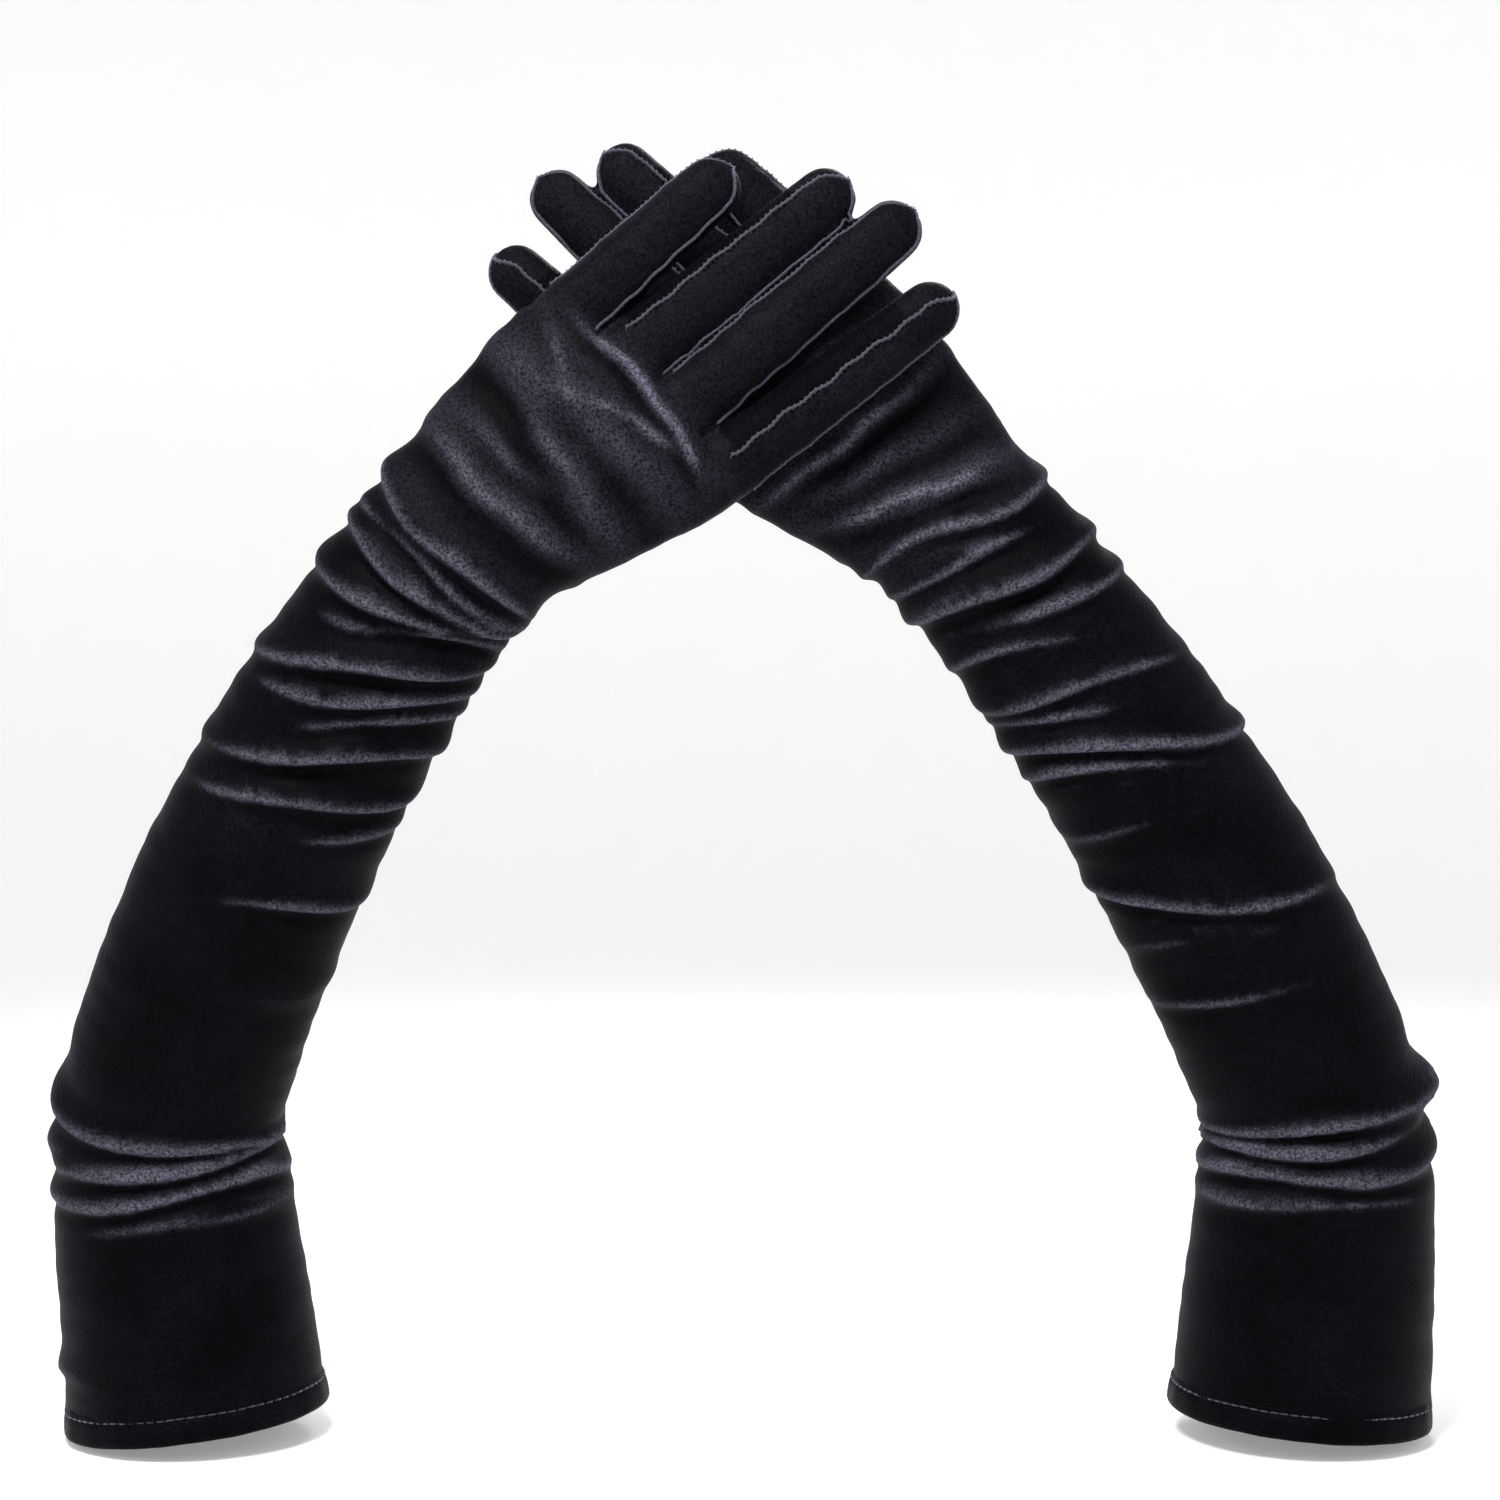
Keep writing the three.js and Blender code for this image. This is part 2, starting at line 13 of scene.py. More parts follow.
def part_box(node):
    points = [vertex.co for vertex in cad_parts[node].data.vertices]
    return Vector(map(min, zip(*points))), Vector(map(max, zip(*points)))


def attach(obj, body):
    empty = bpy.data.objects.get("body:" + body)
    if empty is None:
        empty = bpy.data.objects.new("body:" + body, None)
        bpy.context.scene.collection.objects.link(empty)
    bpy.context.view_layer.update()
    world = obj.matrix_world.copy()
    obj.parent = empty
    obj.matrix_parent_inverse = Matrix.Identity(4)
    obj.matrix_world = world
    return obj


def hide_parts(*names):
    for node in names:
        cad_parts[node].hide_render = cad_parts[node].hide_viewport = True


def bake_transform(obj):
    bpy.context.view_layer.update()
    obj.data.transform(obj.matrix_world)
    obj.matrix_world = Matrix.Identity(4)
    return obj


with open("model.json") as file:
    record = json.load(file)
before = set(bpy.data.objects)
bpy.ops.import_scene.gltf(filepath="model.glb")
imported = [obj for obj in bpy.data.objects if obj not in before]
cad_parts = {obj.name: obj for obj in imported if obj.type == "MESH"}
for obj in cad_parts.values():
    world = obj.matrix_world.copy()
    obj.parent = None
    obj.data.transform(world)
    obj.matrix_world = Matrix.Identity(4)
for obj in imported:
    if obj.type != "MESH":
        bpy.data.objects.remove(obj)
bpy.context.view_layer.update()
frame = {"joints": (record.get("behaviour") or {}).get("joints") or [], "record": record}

bl_info = {
    "name": "Opera Gloves",
    "version": (1, 0, 0),
    "blender": (4, 5, 0),
    "location": "3D View > Sidebar > Gloves",
    "description": "Builds long velvet gloves round a packed model of their sleeves, hands and fingers",
    "category": "Mesh",
}

MM = 0.001
HEM_WALL = 0.0028              # the turned edge, from its inner to its outer side
ELBOW_BEND = 0.034             # how far each side of the elbow the span round the bend reaches
WRIST_BEND = 0.024
FINGER_BEND = (0.003, 0.023)   # from a finger's root
Y = np.array((0.0, 1.0, 0.0))
SIDES = {"left": 1.0, "right": -1.0}
FINGERS = ("little", "ring", "middle", "index")
JOINTS = {joint["name"]: joint for joint in frame["joints"]}
MOUNTS = {mount["name"]: mount for mount in frame["record"]["mounts"]}


# ---- What a user would change ----

def length_property(name, description, value):
    return bpy.props.FloatProperty(name=name, description=description, default=value, unit="LENGTH")


def colour_property(name, description, value):
    return bpy.props.StringProperty(name=name, description=description, default=value)


class GloveSizes(bpy.types.PropertyGroup):
    """Sizes of the sleeves and hands"""
    cuff_width: length_property("Cuff half width", "Half the cuff's width across the arm", 0.0445)
    cuff_depth: length_property("Cuff half depth", "Half the cuff's depth from front to back", 0.043)
    elbow_width: length_property("Elbow half width", "Half the sleeve's width at the elbow", 0.038)
    elbow_depth: length_property("Elbow half depth", "Half the sleeve's depth at the elbow", 0.036)
    wrist_width: length_property("Wrist half width", "Half the sleeve's width at the wrist", 0.0315)
    wrist_depth: length_property("Wrist half depth", "Half the sleeve's depth at the wrist", 0.0225)
    upper_length: length_property("Upper length", "From the cuff's edge to the elbow", 0.104)
    bow: length_property("Forearm bow", "How far the forearm curves outwards at its middle", 0.011)
    cloth: length_property("Cloth thickness", "Velvet with its backing", 0.0011)
    cell: length_property("Mesh cell", "Size of the even mesh the skin is drawn on", 0.0013)
    hem_height: length_property("Hem height", "Height of the turned-up edge", 0.009)


class SeamSizes(bpy.types.PropertyGroup):
    """Sizes of the sewn seams"""
    edge: length_property("Seam edge radius", "Radius of the raised seam edge along a finger", 0.00046)
    stitch_gap: length_property("Seam stitch spacing", "Distance between overcast stitches", 0.0021)
    hem_gap: length_property("Hem stitch spacing", "Distance between hem stitches", 0.0034)
    thread: length_property("Thread radius", "Radius of the sewing thread", 0.00026)


class ClothColours(bpy.types.PropertyGroup):
    """Colours of the cloth, as sRGB hex values"""
    pile: colour_property("Pile", "Velvet seen straight on", "#030305")
    lean: colour_property("Leaning pile", "Velvet where the pile leans to the light", "#08080C")
    # Painted highlight: this pale colour is mixed into the velvet over fold crests and over the hand, standing
    # in for the light they catch
    crest: colour_property("Fold crest", "Velvet whose pile opens over a fold or is stretched", "#4C4C58")
    sheen: colour_property("Sheen", "Light caught by the tips of the pile", "#A9ACD2")
    rib: colour_property("Fourchette", "Velvet cut across its ribs", "#060609")
    edge: colour_property("Seam edge", "Raw edge and thread", "#1A1A22")
    backing: colour_property("Backing", "Knitted inner side", "#0B0B0E")
    floor: colour_property("Floor", "Plain pale paper", "#F4F4F4")


class StageSizes(bpy.types.PropertyGroup):
    """Camera and stage"""
    distance: length_property("Camera distance", "From the camera to the plane of the elbows", 0.95)
    height: length_property("Camera height", "Height of the level camera above the floor", 0.2325)
    lens: bpy.props.FloatProperty(
        name="Lens", description="Focal length on a 36 mm sensor, in millimetres", default=67.0)


PROPERTY_GROUPS = (
    ("glove_sizes", GloveSizes), ("seam_sizes", SeamSizes),
    ("cloth_colours", ClothColours), ("stage_sizes", StageSizes),
)


# ---- Materials ----

def linear(hex_value):
    """An sRGB hex colour as linear RGBA."""
    parts = [int(hex_value.lstrip("#")[i:i + 2], 16) / 255 for i in (0, 2, 4)]
    return (*[c / 12.92 if c <= 0.04045 else ((c + 0.055) / 1.055) ** 2.4 for c in parts], 1.0)


def add_node(tree, kind, settings=None, values=None, links=None):
    """Adds a node, sets its settings and socket values, and links sockets to other nodes' outputs."""
    node = tree.nodes.new(kind)
    for name, value in (settings or {}).items():
        setattr(node, name, value)
    for name, value in (values or {}).items():
        node.inputs[name].default_value = value
    for name, output in (links or {}).items():
        tree.links.new(output, node.inputs[name])
    return node


def ramp(tree, source, stops):
    node = add_node(tree, "ShaderNodeValToRGB", links={"Fac": source})
    elements = node.color_ramp.elements
    while len(elements) < len(stops):
        elements.new(0.5)
    for element, (place, colour) in zip(elements, stops):
        element.position = place
        element.color = colour
    return node.outputs["Color"]


def grey(value):
    return (value, value, value, 1.0)


def new_material(name):
    material = bpy.data.materials.new(name)
    material.use_nodes = True
    material.node_tree.nodes.clear()
    return material, material.node_tree


def velvet_material(name, pile, lean, crest, sheen, rib_gap, rib_height, sheen_weight, roughness):
    """Knitted pile velvet, cut from the roll: near black straight on and pale along its outline, with a
    painted highlight lightening its colour over fold crests and the hand, soft patches of leaning pile and
    fine ribs from the knit."""
    material, tree = new_material(name)
    cloth = add_node(tree, "ShaderNodeAttribute", {"attribute_name": "cloth"})
    place = add_node(tree, "ShaderNodeTexCoord")
    # Patches of leaning pile, about 30 mm across
    patches = add_node(tree, "ShaderNodeTexNoise", values={"Scale": 32.0, "Detail": 3.0, "Roughness": 0.62},
                       links={"Vector": place.outputs["Object"]})
    # Pile tufts: real ones are 0.2 mm across; drawn at 0.9 mm so that they show
    tufts = add_node(tree, "ShaderNodeTexNoise", values={"Scale": 1100.0, "Detail": 2.0, "Roughness": 0.7},
                     links={"Vector": place.outputs["Object"]})
    # Ribs of the knit run slantwise round the arm; drawn at twice their real spacing
    slant = add_node(tree, "ShaderNodeMapping", values={"Rotation": (0.0, 0.0, math.radians(24.0))},
                     links={"Vector": cloth.outputs["Vector"]})
    ribs = add_node(tree, "ShaderNodeTexWave", {"wave_type": "BANDS", "bands_direction": "Y"},
                    values={"Scale": math.pi / 10.0 / rib_gap, "Distortion": 1.2,
                            "Detail": 1.0, "Detail Scale": 1.5},
                    links={"Vector": slant.outputs["Vector"]})
    patch_mask = ramp(tree, patches.outputs["Fac"], [(0.38, grey(0.0)), (0.68, grey(1.0))])
    base = add_node(tree, "ShaderNodeMix", {"data_type": "RGBA"}, links={0: patch_mask})
    base.inputs[6].default_value = linear(pile)
    base.inputs[7].default_value = linear(lean)
    # Painted highlight: the crest attribute mixes the colour towards the pale crest colour over fold crests
    # and over the hand, where light would catch them
    painted_highlight_amount = add_node(tree, "ShaderNodeAttribute", {"attribute_name": "crest"})
    colour_with_painted_highlight = add_node(tree, "ShaderNodeMix", {"data_type": "RGBA"},
                          links={0: painted_highlight_amount.outputs["Fac"], 6: base.outputs[2]})
    colour_with_painted_highlight.inputs[7].default_value = linear(crest)
    speck = add_node(tree, "ShaderNodeMix", {"data_type": "RGBA", "blend_type": "MULTIPLY"},
                     links={6: colour_with_painted_highlight.outputs[2],
                            7: ramp(tree, tufts.outputs["Fac"], [(0.36, grey(0.2)), (0.68, grey(2.0))])})
    speck.inputs[0].default_value = 0.9
    rough = add_node(tree, "ShaderNodeMapRange",
                     values={"To Min": roughness - 0.07, "To Max": roughness + 0.1},
                     links={"Value": patches.outputs["Fac"]})
    relief = add_node(tree, "ShaderNodeMath", {"operation": "MULTIPLY_ADD"},
                      values={1: rib_height}, links={0: ribs.outputs["Fac"], 2: tufts.outputs["Fac"]})
    bump = add_node(tree, "ShaderNodeBump", values={"Strength": 0.6, "Distance": 0.0005},
                    links={"Height": relief.outputs[0]})
    shader = add_node(tree, "ShaderNodeBsdfPrincipled",
                      values={"Sheen Weight": sheen_weight, "Sheen Roughness": 0.4,
                              "Sheen Tint": linear(sheen), "Specular IOR Level": 0.02,
                              "IOR": 1.48},
                      links={"Base Color": speck.outputs[2], "Roughness": rough.outputs[0],
                             "Normal": bump.outputs["Normal"]})
    add_node(tree, "ShaderNodeOutputMaterial", links={"Surface": shader.outputs["BSDF"]})
    return material


def thread_material(name, colour, sheen):
    """Spun polyester thread and raw cut edges: a dull dark grey with a slight twist, paler than the pile."""
    material, tree = new_material(name)
    place = add_node(tree, "ShaderNodeTexCoord")
    twist = add_node(tree, "ShaderNodeTexNoise", values={"Scale": 2600.0, "Detail": 2.0},
                     links={"Vector": place.outputs["Object"]})
    tone = ramp(tree, twist.outputs["Fac"],
                [(0.3, tuple(c * 0.6 for c in linear(colour)[:3]) + (1.0,)), (0.75, linear(colour))])
    bump = add_node(tree, "ShaderNodeBump", values={"Strength": 0.5, "Distance": 0.0002},
                    links={"Height": twist.outputs["Fac"]})
    shader = add_node(tree, "ShaderNodeBsdfPrincipled",
                      values={"Roughness": 0.62, "Sheen Weight": 0.8, "Sheen Roughness": 0.5,
                              "Sheen Tint": linear(sheen)},
                      links={"Base Color": tone, "Normal": bump.outputs["Normal"]})
    add_node(tree, "ShaderNodeOutputMaterial", links={"Surface": shader.outputs["BSDF"]})
    return material


def backing_material(name, colour):
    """Knitted polyester backing, the inner side: flat black with fine stitch rows and no sheen."""
    material, tree = new_material(name)
    cloth = add_node(tree, "ShaderNodeAttribute", {"attribute_name": "cloth"})
    rows = add_node(tree, "ShaderNodeTexWave", {"wave_type": "BANDS", "bands_direction": "X"},
                    values={"Scale": 160.0, "Distortion": 0.6}, links={"Vector": cloth.outputs["Vector"]})
    tone = ramp(tree, rows.outputs["Fac"],
                [(0.2, tuple(c * 0.7 for c in linear(colour)[:3]) + (1.0,)), (0.8, linear(colour))])
    bump = add_node(tree, "ShaderNodeBump", values={"Strength": 0.4, "Distance": 0.0003},
                    links={"Height": rows.outputs["Fac"]})
    shader = add_node(tree, "ShaderNodeBsdfPrincipled", values={"Roughness": 0.85, "Specular IOR Level": 0.25},
                      links={"Base Color": tone, "Normal": bump.outputs["Normal"]})
    add_node(tree, "ShaderNodeOutputMaterial", links={"Surface": shader.outputs["BSDF"]})
    return material


def paper_material(name, colour):
    """Matte seamless paper, lit through from outside: pale, even and without gloss."""
    material, tree = new_material(name)
    place = add_node(tree, "ShaderNodeTexCoord")
    grain = add_node(tree, "ShaderNodeTexNoise", values={"Scale": 900.0, "Detail": 2.0},
                     links={"Vector": place.outputs["Object"]})
    bump = add_node(tree, "ShaderNodeBump", values={"Strength": 0.05, "Distance": 0.0002},
                    links={"Height": grain.outputs["Fac"]})
    shader = add_node(tree, "ShaderNodeBsdfPrincipled",
                      values={"Base Color": linear(colour), "Roughness": 0.9, "Specular IOR Level": 0.1,
                              "Emission Color": linear(colour), "Emission Strength": 0.27},
                      links={"Normal": bump.outputs["Normal"]})
    add_node(tree, "ShaderNodeOutputMaterial", links={"Surface": shader.outputs["BSDF"]})
    return material


def material(key):
    """One of the gloves' materials, made the first time it is asked for."""
    if key not in bpy.data.materials:
        c = bpy.context.scene.cloth_colours
        makers = {
            "stretch_velvet_knitted": lambda: velvet_material(
                key, c.pile, c.lean, c.crest, c.sheen, 0.0015, 0.16, 0.035, 0.46),
            # The fourchettes use the leaning pile colour as their painted crest highlight
            "fourchette_velvet_ribbed": lambda: velvet_material(
                key, c.rib, c.pile, c.lean, c.sheen, 0.0016, 0.9, 0.03, 0.5),
            "hem_velvet_turned": lambda: velvet_material(
                key, c.pile, c.lean, c.crest, c.sheen, 0.0015, 0.2, 0.03, 0.45),
            "polyester_thread_spun": lambda: thread_material(key, c.edge, c.sheen),
            "polyester_backing_knitted": lambda: backing_material(key, c.backing),
            "seamless_paper_matte": lambda: paper_material(key, c.floor),
        }
        makers[key]()
    return bpy.data.materials[key]


# ---- The chain of one glove ----

def unit(vector):
    vector = np.asarray(vector, float)
    return vector / np.linalg.norm(vector, axis=-1, keepdims=True)


def bell(x):
    return np.exp(-x * x)


def smoothed(values, spread):
    """Values along a path, evened out over a spread of that many samples, with straight ends."""
    reach = int(spread * 3)
    kernel = bell(np.arange(-reach, reach + 1) / (spread * math.sqrt(2.0)))
    kernel /= kernel.sum()
    values = np.asarray(values, float)
    flat = values.reshape(len(values), -1)
    before = flat[0] - (flat[1] - flat[0]) * np.arange(reach, 0, -1)[:, None]
    after = flat[-1] + (flat[-1] - flat[-2]) * np.arange(1, reach + 1)[:, None]
    padded = np.vstack((before, flat, after))
    columns = [np.convolve(padded[:, i], kernel, mode="valid") for i in range(flat.shape[1])]
    return np.stack(columns, axis=1).reshape(values.shape)


# Finger data, from the little finger's side: length, half width and half depth at the root,
# splay, and where the seams to its neighbours lie round it, counted from the middle of its back
FINGER_SHAPES = {
    "little": {"length": 0.0705, "width": 0.0108, "depth": 0.0092, "splay": -1.0, "seams": (-84, 58)},
    "ring": {"length": 0.0875, "width": 0.0111, "depth": 0.0096, "splay": 1.5, "seams": (-34, 72)},
    "middle": {"length": 0.0945, "width": 0.0111, "depth": 0.0097, "splay": 0.5, "seams": (-60, 70)},
    "index": {"length": 0.0905, "width": 0.0108, "depth": 0.0094, "splay": 3.5, "seams": (-4, 80)},
}
LITTLE_LEAN = {"left": 0.0, "right": 3.5}   # degrees that the little finger leans to its neighbour
ROOT_CREST, ROOT_DROP, ROOT_SPAN, ROOT_REACH = 0.014, 0.011, 0.044, 0.079


def root_line(v):
    """How far from the wrist the fingers start, for a place across the hand."""
    return ROOT_REACH - ROOT_DROP * ((v - ROOT_CREST) / ROOT_SPAN) ** 2


class Glove:
    """The chain of one glove, read from the frame: cuff, elbow, wrist, hand axes and finger roots."""

    STEP = 0.001

    def __init__(self, name):
        sizes = bpy.context.scene.glove_sizes
        self.name, self.side = name, SIDES[name]
        rim = MOUNTS[f"{name}_cuff_rim"]
        self.up = -unit(rim["axis"])
        inward = self.side * unit(np.cross(Y, self.up))
        rim_lo, rim_hi = (np.array(corner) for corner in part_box(f"{name}_hem"))
        self.cuff = np.array(rim["pos_m"]) - inward * (sizes.cuff_width - HEM_WALL / 2)
        self.cuff[1] = (rim_lo[1] + rim_hi[1]) / 2
        self.elbow = self.cuff + self.up * sizes.upper_length
        self.wrist = np.array(JOINTS[f"{name}_wrist_fold"]["pos_m"], float)
        self.v = unit(JOINTS[f"{name}_wrist_fold"]["axis"])
        self.u = self.side * np.array((-self.v[2], 0.0, self.v[0]))
        self.forearm_length = float(np.linalg.norm(self.wrist - self.elbow))
        self.forward = unit(self.wrist - self.elbow)
        self.wrist_at = sizes.upper_length + self.forearm_length
        self.split_at = sizes.upper_length + 0.42 * self.forearm_length
        self.path(sizes)
        self.skin_tree = None

    def path(self, sizes):
        """The centre line from below the cuff to the knuckles, with the inward and front directions."""
        self.s = np.arange(-0.012, self.wrist_at + ROOT_REACH + 0.02, self.STEP)
        upper, length = sizes.upper_length, self.forearm_length
        points = []
        inward = self.side * unit(np.cross(Y, self.forward))
        for s in self.s:
            if s < upper:
                points.append(self.cuff + self.up * s)
            elif s < self.wrist_at:
                share = (s - upper) / length
                bow = 4 * sizes.bow * share * (1 - share)
                points.append(self.elbow + self.forward * (s - upper) - inward * bow)
            else:
                points.append(self.wrist + self.u * (s - self.wrist_at))
        self.centre = smoothed(points, 11)
        self.tangent = unit(np.gradient(self.centre, axis=0))
        self.inward = self.side * unit(np.cross(Y, self.tangent))
        self.front = unit(-(Y - (self.tangent @ Y)[:, None] * self.tangent))

    def at(self, s):
        """Centre, tangent, inward and front directions at distances along the path."""
        place = np.clip((np.asarray(s) - self.s[0]) / self.STEP, 0, len(self.s) - 1.001)
        low = place.astype(int)
        part = (place - low)[..., None]
        return [a[low] * (1 - part) + a[low + 1] * part
                for a in (self.centre, self.tangent, self.inward, self.front)]

    def locate(self, points):
        """Distance along the path and angle round it for each point; angle 0 is the front and
        90 degrees is the inner side of the arm."""
        s = np.empty(len(points))
        for start in range(0, len(points), 4000):
            block = points[start:start + 4000]
            gaps = ((block[:, None, :] - self.centre[None, ::4, :]) ** 2).sum(axis=2)
            s[start:start + 4000] = self.s[::4][gaps.argmin(axis=1)]
        for _ in range(3):
            centre, tangent, inward, front = self.at(s)
            s = np.clip(s + ((points - centre) * tangent).sum(axis=1), self.s[0], self.s[-1])
        centre, tangent, inward, front = self.at(s)
        away = points - centre
        angle = np.arctan2((away * inward).sum(axis=1), (away * front).sum(axis=1))
        return s, angle, np.linalg.norm(away, axis=1)

    def hand_place(self, points):
        """Places in the hand's own axes: u to the fingertips, v to the thumb's side, w to the palm."""
        away = points - self.wrist
        return away @ self.u, away @ self.v, away[:, 1]

    def finger(self, key):
        """Root, direction and the two directions across one finger."""
        shape = FINGER_SHAPES[key]
        turn = math.radians(shape["splay"] + LITTLE_LEAN[self.name] * (key == "little"))
        root = np.array(JOINTS[f"{self.name}_{key}_fold"]["pos_m"], float)
        direction = self.u * math.cos(turn) + self.v * math.sin(turn)
        across = self.v * math.cos(turn) - self.u * math.sin(turn)
        return root, direction, across


GLOVES = {}


def glove_named(name):
    if name not in GLOVES:
        GLOVES[name] = Glove(name)
    return GLOVES[name]


# ---- Mesh helpers ----

def rounded(angle, width, depth, squareness):
    """A point of a rounded section: squareness 2 is an ellipse and more is boxier."""
    power = 2.0 / squareness
    c, s = np.cos(angle), np.sin(angle)
    return (width * np.sign(s) * np.abs(s) ** power, depth * np.sign(c) * np.abs(c) ** power)


def capped_tube(rings):
    """Vertices and faces of a closed solid through rings of points, with a fan at each end."""
    count, sides = len(rings), len(rings[0])
    verts = [tuple(p) for ring in rings for p in ring]
    verts += [tuple(rings[0].mean(axis=0)), tuple(rings[-1].mean(axis=0))]
    faces = []
    for i in range(count - 1):
        for k in range(sides):
            n = (k + 1) % sides
            faces.append((i * sides + k, i * sides + n, (i + 1) * sides + n, (i + 1) * sides + k))
    for k in range(sides):
        n = (k + 1) % sides
        faces.append((count * sides, n, k))
        faces.append((count * sides + 1, (count - 1) * sides + k, (count - 1) * sides + n))
    return verts, faces


def new_object(name, verts, faces, smooth=True):
    mesh = bpy.data.meshes.new(name)
    mesh.from_pydata([tuple(v) for v in verts], [], [tuple(f) for f in faces])
    mesh.update()
    obj = bpy.data.objects.new(name, mesh)
    bpy.context.scene.collection.objects.link(obj)
    if smooth:
        mesh.polygons.foreach_set("use_smooth", [True] * len(mesh.polygons))
    return obj


def bake(obj):
    """Replaces an object's mesh by its evaluated one and drops its modifiers."""
    bpy.context.view_layer.update()
    graph = bpy.context.evaluated_depsgraph_get()
    mesh = bpy.data.meshes.new_from_object(obj.evaluated_get(graph), depsgraph=graph)
    obj.modifiers.clear()
    old = obj.data
    obj.data = mesh
    if isinstance(old, bpy.types.Mesh):
        bpy.data.meshes.remove(old)
    mesh.name = obj.name
    return obj


def arrays(mesh):
    """Vertex places, vertex normals and faces of a mesh."""
    co = np.empty(len(mesh.vertices) * 3)
    mesh.vertices.foreach_get("co", co)
    normal = np.empty(len(mesh.vertices) * 3)
    mesh.vertex_normals.foreach_get("vector", normal)
    return co.reshape(-1, 3), normal.reshape(-1, 3), [tuple(p.vertices) for p in mesh.polygons]


def evened(points, faces, rounds, factor):
    """Moves each point part of the way to the mean of its neighbours, over some rounds."""
    pairs = np.array([(f[i], f[(i + 1) % len(f)]) for f in faces for i in range(len(f))])
    degree = np.bincount(pairs[:, 0], minlength=len(points)).astype(float)[:, None]
    for _ in range(rounds):
        total = np.zeros_like(points)
        for axis in range(points.shape[1]):
            total[:, axis] = np.bincount(pairs[:, 0], weights=points[pairs[:, 1], axis],
                                         minlength=len(points))
        points = points + factor * (total / np.maximum(degree, 1) - points)
    return points


def bulge(points, normals, faces):
    """How sharply the skin curves outwards at each point, per metre."""
    away = evened(points, faces, 1, 1.0) - points
    edge = np.linalg.norm(points[[f[0] for f in faces]] - points[[f[1] for f in faces]], axis=1).mean()
    return -4 * (away * normals).sum(axis=1) / edge ** 2


def double_skin(name, points, normals, faces, chosen, cloth, crest, thickness, outer, inner):
    """A closed two-sided piece cut from a larger skin: the chosen faces, a copy of them set in by
    the cloth's thickness, and a rim. It keeps the large skin's normals, so cuts don't show."""
    picked = [faces[i] for i in np.flatnonzero(chosen)]
    used = np.unique([v for f in picked for v in f])
    fresh = {int(v): i for i, v in enumerate(used)}
    count = len(used)
    outside = [tuple(fresh[v] for v in f) for f in picked]
    inside = [tuple(v + count for v in reversed(f)) for f in outside]
    edges = {}
    for f in outside:
        for i in range(len(f)):
            a, b = f[i], f[(i + 1) % len(f)]
            edges[(a, b)] = True
    rim = [(b, a, a + count, b + count) for a, b in edges if (b, a) not in edges]
    p, n = points[used], normals[used]
    obj = new_object(name, np.vstack((p, p - n * thickness)), outside + inside + rim)
    mesh = obj.data
    mesh.materials.append(outer)
    mesh.materials.append(inner)
    index = np.zeros(len(mesh.polygons), np.int32)
    index[len(outside):] = 1
    mesh.polygons.foreach_set("material_index", index)
    layer = mesh.attributes.new("cloth", "FLOAT_VECTOR", "POINT")
    layer.data.foreach_set("vector", np.vstack((cloth[used], cloth[used])).astype(np.float32).ravel())
    # The crest attribute carries the painted highlight amount on the outer side; the inner side gets none
    layer = mesh.attributes.new("crest", "FLOAT", "POINT")
    layer.data.foreach_set("value", np.concatenate((crest[used], crest[used] * 0)).astype(np.float32))
    mesh.normals_split_custom_set_from_vertices(np.vstack((n, -n)).tolist())
    return obj


# ---- The skin's shape ----

def body_solid(glove):
    """The smooth solid that one glove is drawn on: sleeve, palm and four fingers, overlapping."""
    z = bpy.context.scene.glove_sizes
    sides = 72
    turn = np.arange(sides) * 2 * math.pi / sides
    stations = np.concatenate((np.arange(-0.006, glove.wrist_at + 0.002, 0.003),
                               np.linspace(glove.wrist_at + 0.004, glove.wrist_at + 0.077, 22)))
    little = np.array((-z.wrist_width, -0.0375, -0.0405, -0.0418))
    thumb = np.array((z.wrist_width, 0.0405, 0.047, 0.0505))
    quarter = np.linspace(0, 1, 4)
    width, depth, shift, square = [], [], [], []
    for s in stations:
        hand = np.clip((s - glove.wrist_at) / ROOT_REACH, 0, 1)
        upper = np.clip(s / z.upper_length, -0.2, 1)
        slim = np.clip((s - z.upper_length) / glove.forearm_length, 0, 1) ** 1.6
        if hand > 0:
            low, high = np.interp(hand, quarter, little), np.interp(hand, quarter, thumb)
            width.append((high - low) / 2)
            shift.append((high + low) / 2)
            depth.append(np.interp(hand, (0, 0.25, 0.5, 0.8, 1),
                                   (z.wrist_depth, 0.0175, 0.0148, 0.0128, 0.0096)))
        else:
            wide = z.cuff_width + (z.elbow_width - z.cuff_width) * upper
            deep = z.cuff_depth + (z.elbow_depth - z.cuff_depth) * upper
            width.append(wide + (z.wrist_width - z.elbow_width) * slim)
            depth.append(deep + (z.wrist_depth - z.elbow_depth) * slim)
            shift.append(0.0)
        square.append(2.0 + 0.7 * hand)
    width, depth = smoothed(width, 4), smoothed(depth, 4)
    shift, square = smoothed(shift, 3), smoothed(square, 3)
    rings = []
    for i, s in enumerate(stations):
        x, y = rounded(turn, width[i], depth[i], square[i])
        hand = np.clip((s - glove.wrist_at) / ROOT_REACH, 0, 1)
        lag = (ROOT_REACH - root_line(np.clip(x + shift[i], -0.042, 0.05))) * hand ** 2
        centre, _, inward, front = glove.at(np.full(sides, s) - lag)
        rings.append(centre + inward * (x + shift[i])[:, None] + front * y[:, None])
    parts = [capped_tube(rings)]
    for key in FINGERS:
        parts.append(capped_tube(finger_rings(glove, key)))
    verts, faces = [], []
    for part_verts, part_faces in parts:
        faces += [tuple(v + len(verts) for v in f) for f in part_faces]
        verts += part_verts
    return new_object(f"{glove.name}_skin_form", verts, faces)


